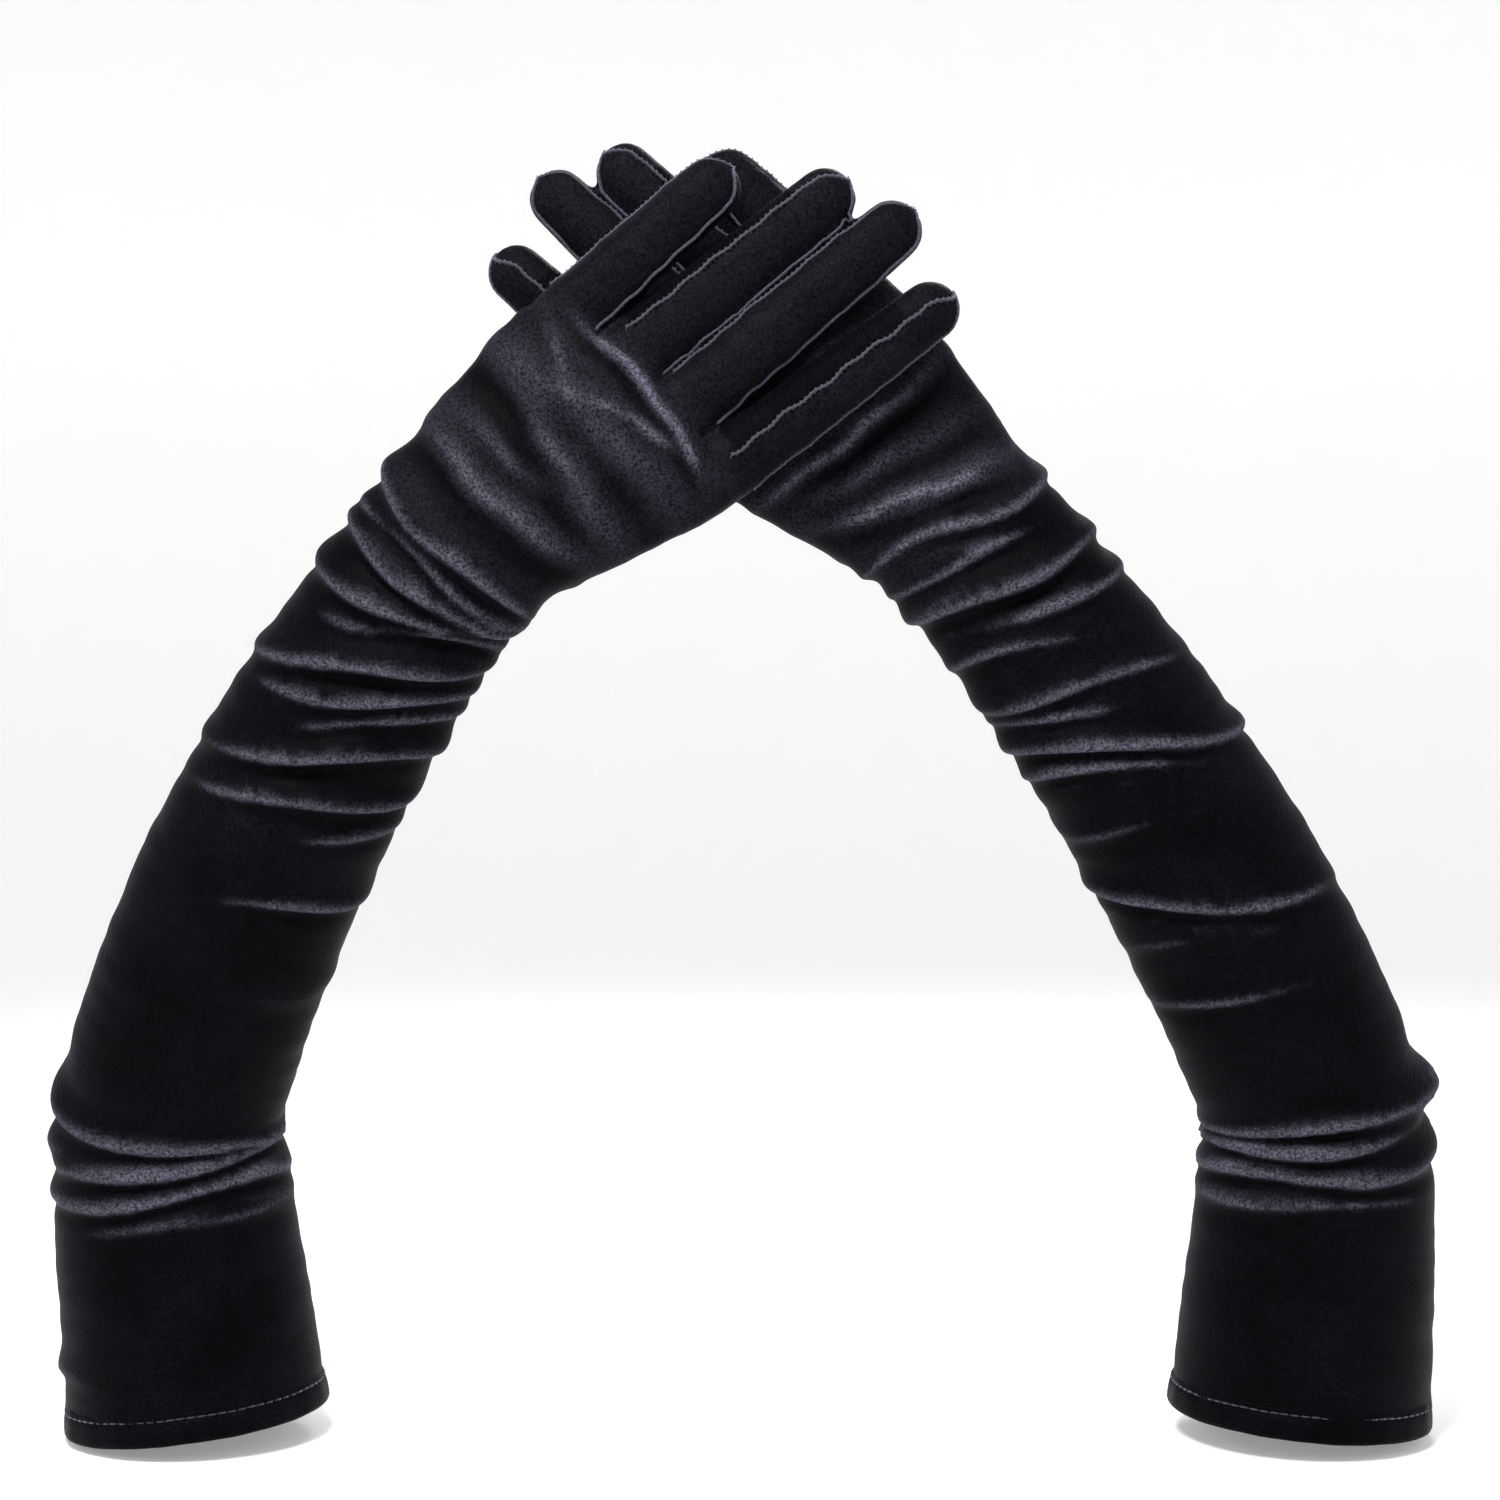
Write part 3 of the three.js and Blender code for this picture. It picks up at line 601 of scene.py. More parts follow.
def finger_rings(glove, key, start=-0.02):
    """Rings of one finger's sleeve, from inside the palm to its round tip."""
    shape = FINGER_SHAPES[key]
    root, direction, across = glove.finger(key)
    turn = np.arange(40) * 2 * math.pi / 40
    length, cap = shape["length"], 0.0095
    body = np.linspace(start, length - cap, 22)
    tip = length - cap + cap * np.sin(np.linspace(0, math.pi / 2, 9)[1:])
    rings = []
    for s in np.concatenate((body, tip)):
        share = np.clip(s / (length - cap), 0, 1)
        size = 1 - 0.11 * share + 0.025 * bell((share - 0.42) / 0.13) + 0.03 * bell((share - 0.78) / 0.14)
        if s > length - cap:
            size *= math.sqrt(max(1 - ((s - length + cap) / cap) ** 2, 0.0004))
        if s < 0:
            size *= 1 - 0.12 * min(1.0, s / start)
        web = 1 + 0.06 * np.clip((0.006 - s) / 0.006, 0, 1)
        x, y = rounded(turn, shape["width"] * size * web, shape["depth"] * size, 2.35)
        curl = 0.0016 * np.clip(s / length, 0, 1) ** 2
        centre = root + direction * s + Y * curl
        rings.append(centre + across * x[:, None] - Y * y[:, None])
    return rings


# One gather of a sleeve: where its middle crosses the front (from the elbow, mm), how much higher
# it sits on the inner side, how far it sags at the front, height, half width, the angle it faces
# (0 front, 90 inner side) and how far round it reaches, in degrees
GATHERS = {
    "left": (
        (228, -2, 2.5, 3.7, 3.0, 25, 150), (221, 0, 3, 1.9, 1.7, 35, 120), (215, 3, 3.5, 2.9, 2.3, 30, 130),
        (207, 9, 4, 3.2, 3.0, 10, 120), (198, 12, 3, 1.9, 2.0, 55, 65), (184, 18, 4, 3.4, 3.2, 15, 115),
        (173, 17, 4, 2.6, 2.6, 45, 80), (161, 20, 3, 1.7, 2.0, 65, 55), (150, 18, 4, 3.2, 3.0, 32, 95),
        (134, 15, 4, 2.9, 2.9, 42, 85), (122, 10, 2, 1.4, 2.2, 70, 45), (96, 9, 3, 2.4, 2.6, 65, 55),
        (62, 8, 2, 0.8, 4.5, 60, 60),
        (3, -1, 6, 2.6, 2.9, -15, 170), (-8, 2, 6, 2.9, 2.6, 25, 110), (-19, 0, 5, 2.6, 2.5, 10, 120),
        (-31, 3, 3, 1.2, 3.2, 50, 70), (-84, -3, 1, 1.5, 2.6, -85, 38), (-6, 0, 1, 2.6, 2.4, -92, 26),
    ),
    "right": (
        (238, 8, 2, 3.1, 2.7, 25, 140), (226, 8, 2, 1.6, 2.0, 55, 70), (215, 9, 3, 3.5, 3.2, 15, 130),
        (203, 10, 3, 1.9, 2.4, -40, 70), (190, 12, 2, 1.9, 2.6, 65, 60), (173, 12, 3, 2.6, 2.5, 40, 80),
        (165, 12, 3, 1.8, 1.9, 62, 45), (148, 18, 2, 3.3, 2.3, 15, 105), (141, 14, 2, 2.0, 2.0, 58, 50),
        (120, 12, 2, 1.2, 2.8, 60, 50), (90, 18, 5, 2.6, 2.7, 40, 100), (74, 12, 2, 1.1, 3.2, 70, 45),
        (54, 10, 2, 1.5, 2.8, 45, 50),
        (6, 3, 3, 2.8, 2.9, -20, 170), (-2, -3, 5, 2.8, 2.5, 30, 110), (-13, -4, 5, 2.9, 2.5, 20, 120),
        (-24, -2, 3, 1.6, 3.2, 40, 80), (-60, 4, 1, 0.6, 6.0, -60, 60), (5, 0, 1, 2.6, 2.4, -92, 26),
    ),
}
# Folds of the hand's back: distance from the wrist and place across at the middle (mm), slope,
# curve, height, half width and reach across
HAND_FOLDS = {
    "left": (
        (71.5, 5, -0.04, -0.0035, 2.3, 1.9, 25), (63, 14, 0.35, -0.004, 1.0, 2.4, 20),
        (52, 2, 0.1, -0.002, 1.7, 5.5, 36), (37, 4, -0.17, 0.0, 1.9, 4.6, 38),
        (24, -10, 0.1, 0.002, 1.1, 3.2, 26), (12, 0, 0.1, 0.005, 2.3, 4.2, 38),
        (57, -20, -0.4, 0.004, 0.9, 3.0, 14),
    ),
    "right": (
        (40, 10, 0.13, 0.0015, 1.7, 2.8, 38), (49, 18, 0.3, -0.003, 0.8, 3.0, 20),
        (66, 0, 0.0, -0.003, 1.2, 2.4, 30), (26, 4, 0.28, 0.001, 1.3, 4.0, 34),
        (12, 6, 0.45, 0.002, 2.0, 3.4, 34), (3, -6, 0.4, 0.001, 1.5, 3.0, 28),
    ),
}

# Creases of the palm: distance from the wrist (mm), slope, height and half width
PALM_CREASES = ((58, -0.15, 0.9, 3.0), (44, 0.3, 1.1, 3.4), (27, 0.5, 0.9, 3.0), (12, 0.1, 1.3, 3.2))
# Cross wrinkles of a finger: distance from its root (mm), height and half width
FINGER_WRINKLES = ((9, 0.25, 1.9), (26, 0.32, 2.2), (33, 0.26, 1.8), (52, 0.28, 2.0), (58, 0.2, 1.6))


def sleeve_folds(glove, s, angle):
    """How far each point of the sleeve stands out, and how far its crests droop, in metres."""
    z = bpy.context.scene.glove_sizes
    out, droop = np.zeros(len(s)), np.zeros(len(s))
    x = (s - z.upper_length) / MM
    palmward = np.clip((s - glove.wrist_at + 0.004) / 0.02, 0, 1)
    for order, (at, rise, sag, height, width, facing, reach) in enumerate(GATHERS[glove.name]):
        wobble = 1.3 * np.sin(2 * angle + order * 1.7) + 0.8 * np.sin(3 * angle + order * 2.9)
        crest = at + sag + rise * np.sin(angle) - sag * (1 + np.cos(angle)) + wobble
        gap = x - crest
        turn = np.degrees(np.angle(np.exp(1j * (angle - math.radians(facing)))))
        fade = bell(turn / reach) * (1 + 0.16 * np.sin(4 * angle + order))
        fade *= 1 - 0.4 * bell((turn + facing - 95) / 28)
        ridge = np.where(gap > 0, bell(gap / (width * 1.5)), bell(gap / (width * 0.8)))
        valley = (0.5 * bell((gap + 2.0 * width) / (width * 1.05))
                  + 0.22 * bell((gap - 3.1 * width) / (width * 1.6)))
        out += height * fade * (ridge - valley) * MM
        droop += 0.5 * height * fade * bell(gap / (width * 1.1)) * MM
    return out * (1 - palmward), droop * (1 - palmward)


def back_folds(glove, s, angle):
    """Loose gathers behind the arm and round the inner side, which the front list doesn't hold."""
    rng = np.random.default_rng(11 if glove.name == "left" else 23)
    z = bpy.context.scene.glove_sizes
    x = (s - z.upper_length) / MM
    out = np.zeros(len(s))
    bands = [(rng.uniform(112, 232), rng.uniform(100, 245)) for _ in range(17)]
    bands += [(rng.uniform(-32, 12), rng.uniform(120, 240)) for _ in range(7)]
    bands += [(rng.uniform(20, 110), rng.uniform(90, 250)) for _ in range(4)]
    for order, (at, facing) in enumerate(bands):
        rise, height = rng.uniform(-8, 8), rng.uniform(0.8, 2.0)
        width, reach = rng.uniform(2.2, 3.8), rng.uniform(35, 75)
        crest = at + rise * np.sin(angle + 0.4 * order) + 1.2 * np.sin(3 * angle + order)
        gap = x - crest
        turn = np.degrees(np.angle(np.exp(1j * (angle - math.radians(facing)))))
        behind = np.clip((np.abs(np.degrees(angle)) - 95) / 25, 0, 1)
        ridge = bell(gap / width) - 0.45 * bell((gap + 2 * width) / (width * 1.1))
        out += height * bell(turn / reach) * behind * ridge * MM
    return out * (1 - np.clip((s - glove.wrist_at + 0.004) / 0.02, 0, 1))


def hand_folds(glove, u, v, w):
    """How far the back of the hand stands out at its folds, and the palm at its creases."""
    out = np.zeros(len(u))
    back = np.clip(-w / 0.004 + 0.3, 0, 1)
    x, y = u / MM, v / MM
    for at, across, slope, curve, height, width, reach in HAND_FOLDS[glove.name]:
        crest = at + slope * (y - across) + curve * (y - across) ** 2 + 0.6 * np.sin(y / 4.5 + at)
        gap = x - crest
        fade = bell((y - across) / reach)
        ridge = np.where(gap > 0, bell(gap / (width * 1.3)), bell(gap / width))
        out += height * fade * (ridge - 0.45 * bell((gap + 1.9 * width) / (width * 1.2))) * back * MM
    palm = np.clip(w / 0.004, 0, 1)
    for at, slope, height, width in PALM_CREASES:
        gap = x - at - slope * y - 1.5 * np.sin(y / 7.0 + at)
        out += height * (bell(gap / width) - 0.6 * bell((gap + 2 * width) / width)) * palm * bell(y / 45) * MM
    return out * np.clip((u + 0.016) / 0.016, 0, 1) * np.clip((0.083 - u) / 0.01, 0, 1)


def finger_wrinkles(along, lane, finger_mask):
    """Small cross wrinkles where a finger's cloth is slack."""
    out = np.zeros(len(along))
    for at, height, width in FINGER_WRINKLES:
        shift = 4.5 * np.sin(lane * 2.3 + at)
        out += height * bell((along / MM - at - shift) / width) * MM
    return out * finger_mask


def cloth_noise(along, round_place, scale_along, scale_round, seed):
    """Seeded smooth noise in cloth places, one value a point."""
    a = along / scale_along
    b = round_place / scale_round
    return np.array([noise.noise(Vector((x, y, seed))) for x, y in zip(a, b)])


def make_skin(glove):
    """The glove's whole outer surface, with its folds: points, normals, faces, cloth places and painted
    highlight amounts.
    """
    z = bpy.context.scene.glove_sizes
    form = body_solid(glove)
    remesh = form.modifiers.new("even_mesh", "REMESH")
    remesh.mode = "VOXEL"
    remesh.voxel_size = z.cell * 1.0
    remesh.use_smooth_shade = True
    bake(form)
    points, normals, faces = arrays(form.data)
    points = evened(points, faces, 10, 0.5)
    form.data.vertices.foreach_set("co", points.ravel())
    form.data.update()
    points, normals, faces = arrays(form.data)
    roundness = bulge(points, normals, faces)
    s, angle, _ = glove.locate(points)
    u, v, w = glove.hand_place(points)
    in_hand = np.clip((u + 0.02) / 0.02, 0, 1) * (s > glove.wrist_at - 0.03)
    out, droop = sleeve_folds(glove, s, angle)
    out += back_folds(glove, s, angle)
    folds = hand_folds(glove, u, v, w) * in_hand
    out += folds
    lane = np.round((v / MM - 5) / 23 + 1.5)
    beyond = u - root_line(v)
    out += finger_wrinkles(beyond, lane, np.clip(beyond / 0.004, 0, 1) * in_hand)
    girth = angle * 0.034
    out += 0.00055 * cloth_noise(s, girth, 0.0075, 0.03, 3.1) * (1 - np.clip(beyond / 0.004, 0, 1))
    out += 0.0009 * cloth_noise(s, girth, 0.03, 0.035, 7.7) * (1 - np.clip(u / 0.02, 0, 1))
    _, tangent, _, _ = glove.at(s)
    points = points + normals * out[:, None] - tangent * droop[:, None]
    points = evened(points, faces, 1, 0.25)
    form.data.vertices.foreach_set("co", points.ravel())
    form.data.update()
    points, normals, faces = arrays(form.data)
    # Painted highlight: the crest amount lightens the velvet's colour over sharp fold crests, evenly over the
    # hand (less on its fingers), over the hand's raised folds and over the sleeve's raised gathers, where
    # light falls on them
    painted_crest_highlight = np.clip((bulge(points, normals, faces) - roundness - 120) / 320, 0, 1) ** 1.4
    painted_crest_highlight = evened(painted_crest_highlight[:, None], faces, 1, 0.5)[:, 0] * (1 - 0.75 * np.clip(beyond / 0.004, 0, 1) * in_hand)
    painted_hand_highlight = 0.06 - 0.03 * np.clip(beyond / 0.004, 0, 1)
    painted_fold_highlight = (painted_hand_highlight + 120 * folds) * in_hand + 4 * out * (1 - in_hand)
    crest = np.clip(0.75 * painted_crest_highlight + np.clip(painted_fold_highlight, 0, 0.35), 0, 1)
    cloth = np.stack((girth, s, np.zeros(len(s))), axis=1)
    on_hand = (u > 0.0)
    cloth[on_hand] = np.stack((v, u + glove.wrist_at, w), axis=1)[on_hand]
    bpy.data.objects.remove(form)
    return points, normals, faces, cloth, crest


def elbow_bend(glove):
    return glove.elbow - glove.up * ELBOW_BEND, glove.elbow + glove.forward * ELBOW_BEND


def wrist_bend(glove):
    return glove.wrist - glove.forward * WRIST_BEND, glove.wrist + glove.u * WRIST_BEND


def finger_bend(root, direction):
    return [root + direction * reach for reach in FINGER_BEND]


def face_means(values, faces):
    return np.array([np.mean(values[list(f)], axis=0) for f in faces])


def blend_piece(piece, first, second, start, end):
    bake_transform(piece)


def cut_skin(glove):
    """Cuts the skin into pieces: the sleeve up to partway along the forearm, the rest of the arm with the
    hand, each finger and its fourchette strips.
    """
    z = bpy.context.scene.glove_sizes
    name = glove.name
    points, normals, faces, cloth, crest = make_skin(glove)
    middle = face_means(points, faces)
    s, _, _ = glove.locate(middle)
    u, v, _ = glove.hand_place(middle)
    beyond = u - root_line(v)
    velvet, backing = material("stretch_velvet_knitted"), material("polyester_backing_knitted")
    ribbed = material("fourchette_velvet_ribbed")

    def piece(part, chosen, outer, slot):
        made = double_skin(f"{name}_{part}", points, normals, faces, chosen, cloth, crest, z.cloth,
                           outer, backing)
        return made

    on_finger = (beyond > 0.001) & (s > glove.wrist_at)
    below = (s > z.hem_height - 0.001) & (s <= glove.split_at) & ~on_finger
    above = (s > glove.split_at) & ~on_finger
    upper = piece("sleeve_skin", below, velvet, "velvet")
    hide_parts(f"{name}_upper_sleeve", f"{name}_elbow_gathers", f"{name}_forearm_sleeve")
    blend_piece(upper, f"{name}_upper", f"{name}_forearm", *elbow_bend(glove))
    hand = piece("hand_skin", above, velvet, "velvet")
    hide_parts(f"{name}_trank", f"{name}_wrist_gathers", f"{name}_forearm_sleeve")
    blend_piece(hand, f"{name}_forearm", f"{name}_hand", *wrist_bend(glove))

    lanes = np.stack([np.abs((middle - glove.finger(key)[0]) @ glove.finger(key)[2]) for key in FINGERS])
    nearest = lanes.argmin(axis=0)
    for order, key in enumerate(FINGERS):
        root, direction, across = glove.finger(key)
        away = middle - root
        along = away @ direction
        turn = np.degrees(np.arctan2(away @ across, -away[:, 1]))
        mine = on_finger & (nearest == order)
        low, high = FINGER_SHAPES[key]["seams"]
        reach = (along > 0.004) & (along < 0.8 * FINGER_SHAPES[key]["length"])
        sides = {}
        if order > 0:
            pair = f"fourchette_{FINGERS[order - 1]}_{key}_on_{key}"
            sides[pair] = mine & reach & (turn < low) & (turn > -122)
        if order < 3:
            pair = f"fourchette_{key}_{FINGERS[order + 1]}_on_{key}"
            sides[pair] = mine & reach & (turn > high) & (turn < 122)
        rest = mine.copy()
        for chosen in sides.values():
            rest &= ~chosen
        start, end = finger_bend(root, direction)
        skin = piece(f"{key}_finger_skin", rest, velvet, "velvet")
        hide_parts(f"{name}_{key}_finger")
        blend_piece(skin, f"{name}_hand", f"{name}_{key}", start, end)
        for part, chosen in sides.items():
            strip = piece(f"{part}_skin", chosen, ribbed, "fourchette_cloth")
            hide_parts(f"{name}_{part}")
            blend_piece(strip, f"{name}_hand", f"{name}_{key}", start, end)
    glove.skin_tree = BVHTree.FromPolygons([Vector(p) for p in points], faces)


# ---- Thumb ----

def thumb_axes(glove):
    root = np.array(JOINTS[f"{glove.name}_thumb_swing"]["pos_m"], float)
    turn = math.radians(14)
    direction = glove.u * math.cos(turn) + glove.v * math.sin(turn)
    across = glove.v * math.cos(turn) - glove.u * math.sin(turn)
    return root, direction, across


def thumb_shape(share, cap_share):
    size = 1.06 - 0.16 * share + 0.05 * bell((share - 0.45) / 0.16)
    if share > cap_share:
        size *= math.sqrt(max(1 - ((share - cap_share) / (1 - cap_share)) ** 2, 0.0004))
    return size


def make_thumb(glove):
    """The thumb piece: a sleeve that starts inside the palm and lies along the hand's edge."""
    root, direction, across = thumb_axes(glove)
    length, radius, start = 0.0425, 0.0092, -0.012
    turn = np.arange(48) * 2 * math.pi / 48
    cap_share = 0.79
    shares = np.concatenate((np.linspace(0, cap_share, 44),
                             cap_share + (1 - cap_share) * np.sin(np.linspace(0, math.pi / 2, 14)[1:])))
    rings = []
    for share in shares:
        s = start + (length - start) * share
        size = thumb_shape(share, cap_share)
        wrinkle = sum(h * bell((s / MM - at) / 1.6) for at, h in ((3, 0.4), (7, 0.5), (19, 0.45), (25, 0.35)))
        x, y = rounded(turn, radius * size, radius * 0.96 * size, 2.1)
        reach = 1 + wrinkle * MM / radius * (0.7 + 0.3 * np.sin(turn * 2 + s * 400))
        sink = 0.0035 * max(0.0, -s / 0.012)
        centre = root + direction * s - Y * sink
        rings.append(centre + across * (x * reach)[:, None] - Y * (y * reach)[:, None])
    verts, faces = capped_tube(rings)
    piece = new_object(f"{glove.name}_thumb_skin", verts, faces)
    cloth = np.array([((p - root) @ across, (p - root) @ direction, 0.0) for p in np.array(verts)])
    layer = piece.data.attributes.new("cloth", "FLOAT_VECTOR", "POINT")
    layer.data.foreach_set("vector", cloth.astype(np.float32).ravel())
    piece.data.materials.append(material("stretch_velvet_knitted"))
    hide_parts(f"{glove.name}_thumb")
    blend_piece(piece, f"{glove.name}_hand", f"{glove.name}_thumb",
                root - direction * 0.002, root + direction * 0.014)
    return piece


# ---- Seams ----

def tree_input(tree, name, kind, default=None):
    socket = tree.interface.new_socket(name=name, in_out="INPUT", socket_type=kind)
    if default is not None:
        socket.default_value = default
    return socket.identifier


def seam_tree(name):
    """Geometry nodes: a raised round edge along a curve, crossed by short stitches."""
    if name in bpy.data.node_groups:
        tree = bpy.data.node_groups[name]
        return tree, {s.name: s.identifier for s in tree.interface.items_tree if s.in_out == "INPUT"}
    tree = bpy.data.node_groups.new(name, "GeometryNodeTree")
    tree.interface.new_socket(name="Geometry", in_out="OUTPUT", socket_type="NodeSocketGeometry")
    tree_input(tree, "Geometry", "NodeSocketGeometry")
    tree_input(tree, "Edge Radius", "NodeSocketFloat", 0.0006)
    tree_input(tree, "Thread Radius", "NodeSocketFloat", 0.00026)
    tree_input(tree, "Stitch Spacing", "NodeSocketFloat", 0.002)
    tree_input(tree, "Stitch Length", "NodeSocketFloat", 0.0016)
    tree_input(tree, "Stitch Turn", "NodeSocketFloat", 1.0)
    tree_input(tree, "Material", "NodeSocketMaterial")
    names = {s.name: s.identifier for s in tree.interface.items_tree if s.in_out == "INPUT"}
    given = add_node(tree, "NodeGroupInput").outputs
    edge_circle = add_node(tree, "GeometryNodeCurvePrimitiveCircle", values={"Resolution": 6},
                           links={"Radius": given["Edge Radius"]})
    edge = add_node(tree, "GeometryNodeCurveToMesh", values={"Fill Caps": True},
                    links={"Curve": given["Geometry"], "Profile Curve": edge_circle.outputs["Curve"]})
    marks = add_node(tree, "GeometryNodeCurveToPoints", {"mode": "LENGTH"},
                     links={"Curve": given["Geometry"], "Length": given["Stitch Spacing"]})
    stitch = add_node(tree, "GeometryNodeMeshCylinder", values={"Vertices": 6, "Side Segments": 1},
                      links={"Radius": given["Thread Radius"], "Depth": given["Stitch Length"]})
    lean = add_node(tree, "ShaderNodeCombineXYZ", links={"X": given["Stitch Turn"]})
    turned = add_node(tree, "GeometryNodeTransform",
                      links={"Geometry": stitch.outputs["Mesh"], "Rotation": lean.outputs["Vector"]})
    placed = add_node(tree, "GeometryNodeInstanceOnPoints",
                      links={"Points": marks.outputs["Points"], "Instance": turned.outputs["Geometry"],
                             "Rotation": marks.outputs["Rotation"]})
    joined = add_node(tree, "GeometryNodeJoinGeometry", links={"Geometry": edge.outputs["Mesh"]})
    tree.links.new(placed.outputs["Instances"], joined.inputs["Geometry"])
    real = add_node(tree, "GeometryNodeRealizeInstances", links={"Geometry": joined.outputs["Geometry"]})
    smooth = add_node(tree, "GeometryNodeSetShadeSmooth", links={"Geometry": real.outputs["Geometry"]})
    painted = add_node(tree, "GeometryNodeSetMaterial",
                       links={"Geometry": smooth.outputs["Geometry"], "Material": given["Material"]})
    add_node(tree, "NodeGroupOutput", links={"Geometry": painted.outputs["Geometry"]})
    return tree, names


def sewn_seam(name, paths, edge_radius, spacing, length, turn, closed=False):
    """A seam along one or more paths, made by the seam tree and turned into a plain mesh."""
    z = bpy.context.scene.seam_sizes
    curve = bpy.data.curves.new(name, "CURVE")
    curve.dimensions = "3D"
    for path in paths:
        spline = curve.splines.new("POLY")
        spline.points.add(len(path) - 1)
        spline.points.foreach_set("co", np.hstack((path, np.ones((len(path), 1)))).ravel())
        spline.use_cyclic_u = closed
    obj = bpy.data.objects.new(name, curve)
    bpy.context.scene.collection.objects.link(obj)
    tree, names = seam_tree("sewn_seam")
    modifier = obj.modifiers.new("seam", "NODES")
    modifier.node_group = tree
    modifier[names["Edge Radius"]] = edge_radius
    modifier[names["Thread Radius"]] = z.thread
    modifier[names["Stitch Spacing"]] = spacing
    modifier[names["Stitch Length"]] = length
    modifier[names["Stitch Turn"]] = turn
    modifier[names["Material"]] = material("polyester_thread_spun")
    bpy.context.view_layer.update()
    graph = bpy.context.evaluated_depsgraph_get()
    mesh = bpy.data.meshes.new_from_object(obj.evaluated_get(graph), depsgraph=graph)
    bpy.data.objects.remove(obj)
    mesh.name = name
    made = bpy.data.objects.new(name, mesh)
    bpy.context.scene.collection.objects.link(made)
    return made


def laid_on(glove, points, lift):
    """Points moved on to the skin, standing out from it by lift."""
    result = []
    for point in points:
        place, normal, _, _ = glove.skin_tree.find_nearest(Vector(point))
        result.append(np.array(place) + np.array(normal) * lift)
    return np.array(result)


def finger_seams(glove, key):
    """The raised seam that outlines the back of one finger, up one side, over the tip and down."""
    z = bpy.context.scene.seam_sizes
    shape = FINGER_SHAPES[key]
    root, direction, across = glove.finger(key)
    low, high = shape["seams"]
    length, cap = shape["length"], 0.0095
    body = np.arange(0.002, length - cap, 0.0009)
    wave = 1.7 * np.sin(body / 0.0019 + len(key)) + 1.5 * np.sin(body / 0.0047 + length * 900)
    sides = [[(s, low + b) for s, b in zip(body, wave)], [(s, high - b) for s, b in zip(body, wave)]]
    arc = np.linspace(0, math.pi, 26)
    tip = []
    for a in arc:
        s = length - cap + cap * 1.02 * math.sin(a)
        tip.append((s, low + (high - low) * (1 - math.cos(a)) / 2))
    route = sides[0] + tip[1:-1] + sides[1][::-1]
    points = []
    for s, degrees in route:
        a = math.radians(degrees)
        size = 1.0
        if s > length - cap:
            size = math.sqrt(max(1 - ((s - length + cap) / cap) ** 2, 0.0))
        x, y = rounded(np.array(a), shape["width"] * size, shape["depth"] * size, 2.35)
        points.append(root + direction * s + across * float(x) - Y * float(y))
    path = laid_on(glove, points, z.edge * 0.55)
    seam = sewn_seam(f"{glove.name}_{key}_seam", [path], z.edge, z.stitch_gap, 0.0019, 0.9)
    blend_piece(seam, f"{glove.name}_hand", f"{glove.name}_{key}", *finger_bend(root, direction))


def sleeve_seam(glove):
    """The long closing seam, behind the arm, in two parts that meet partway along the forearm."""
    z = bpy.context.scene.seam_sizes
    sizes = bpy.context.scene.glove_sizes
    name = glove.name
    spans = {
        "sleeve_seam": (sizes.hem_height, glove.split_at, f"{name}_upper", f"{name}_forearm",
                        *elbow_bend(glove)),
        "hand_seam": (glove.split_at, glove.wrist_at + 0.058, f"{name}_forearm", f"{name}_hand",
                      *wrist_bend(glove)),
    }
    for part, (low, high, first, second, start, end) in spans.items():
        s = np.arange(low, high, 0.0012)
        angle = np.radians(-158 + 34 * np.clip((s - glove.wrist_at + 0.03) / 0.07, 0, 1))
        centre, _, inward, out = glove.at(s)
        points = centre + 0.03 * (inward * np.sin(angle)[:, None] + out * np.cos(angle)[:, None])
        path = laid_on(glove, points, z.edge * 0.3)
        path = smoothed(path, 1.2)
        seam = sewn_seam(f"{name}_{part}", [path], z.edge * 0.75, z.stitch_gap * 1.3, 0.002, 1.2)
        blend_piece(seam, first, second, start, end)


def thumb_seam(glove):
    """The round seam where the thumb piece is set into the palm."""
    z = bpy.context.scene.seam_sizes
    root, direction, across = thumb_axes(glove)
    turn = np.linspace(0, 2 * math.pi, 60, endpoint=False)
    ring = [root + direction * (0.0012 * math.sin(3 * a) - 0.001) + across * 0.0101 * math.sin(a)
            - Y * 0.0099 * math.cos(a) for a in turn]
    seam = sewn_seam(f"{glove.name}_thumb_seam", [np.array(ring)], z.edge, z.stitch_gap, 0.0019, 0.9,
                     closed=True)
    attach(seam, f"{glove.name}_hand")


# ---- Hem ----

def hem_profile():
    """The turned edge in section: distance up from the rim and out from the sleeve, in mm."""
    return ((10.6, 0.0), (9.9, 0.65), (9.2, 0.85), (8.6, 0.3), (8.2, 0.28), (7.6, 0.95), (5.5, 1.2),
            (3.0, 1.25), (1.4, 1.15), (0.5, 0.75), (0.0, 0.0), (0.1, -0.8), (0.7, -1.5), (2.2, -1.85),
            (6.0, -1.95), (9.6, -1.9), (10.4, -1.4))


def hem_ring(glove, height, out, turn):
    z = bpy.context.scene.glove_sizes
    wave = 0.35 * np.sin(5 * turn + glove.side) + 0.25 * np.sin(11 * turn) + 0.15 * np.sin(23 * turn)
    share = height * MM / z.upper_length
    width = z.cuff_width + (z.elbow_width - z.cuff_width) * share + (out - 1.1 + wave * 0.5) * MM
    depth = z.cuff_depth + (z.elbow_depth - z.cuff_depth) * share + (out - 1.1 + wave * 0.5) * MM
    centre, _, inward, front = glove.at(np.full(len(turn), height * MM))
    return (centre + inward * (width * np.sin(turn))[:, None] + front * (depth * np.cos(turn))[:, None]
            + glove.up * (0.35 * MM + wave * 0.35 * MM)[:, None])


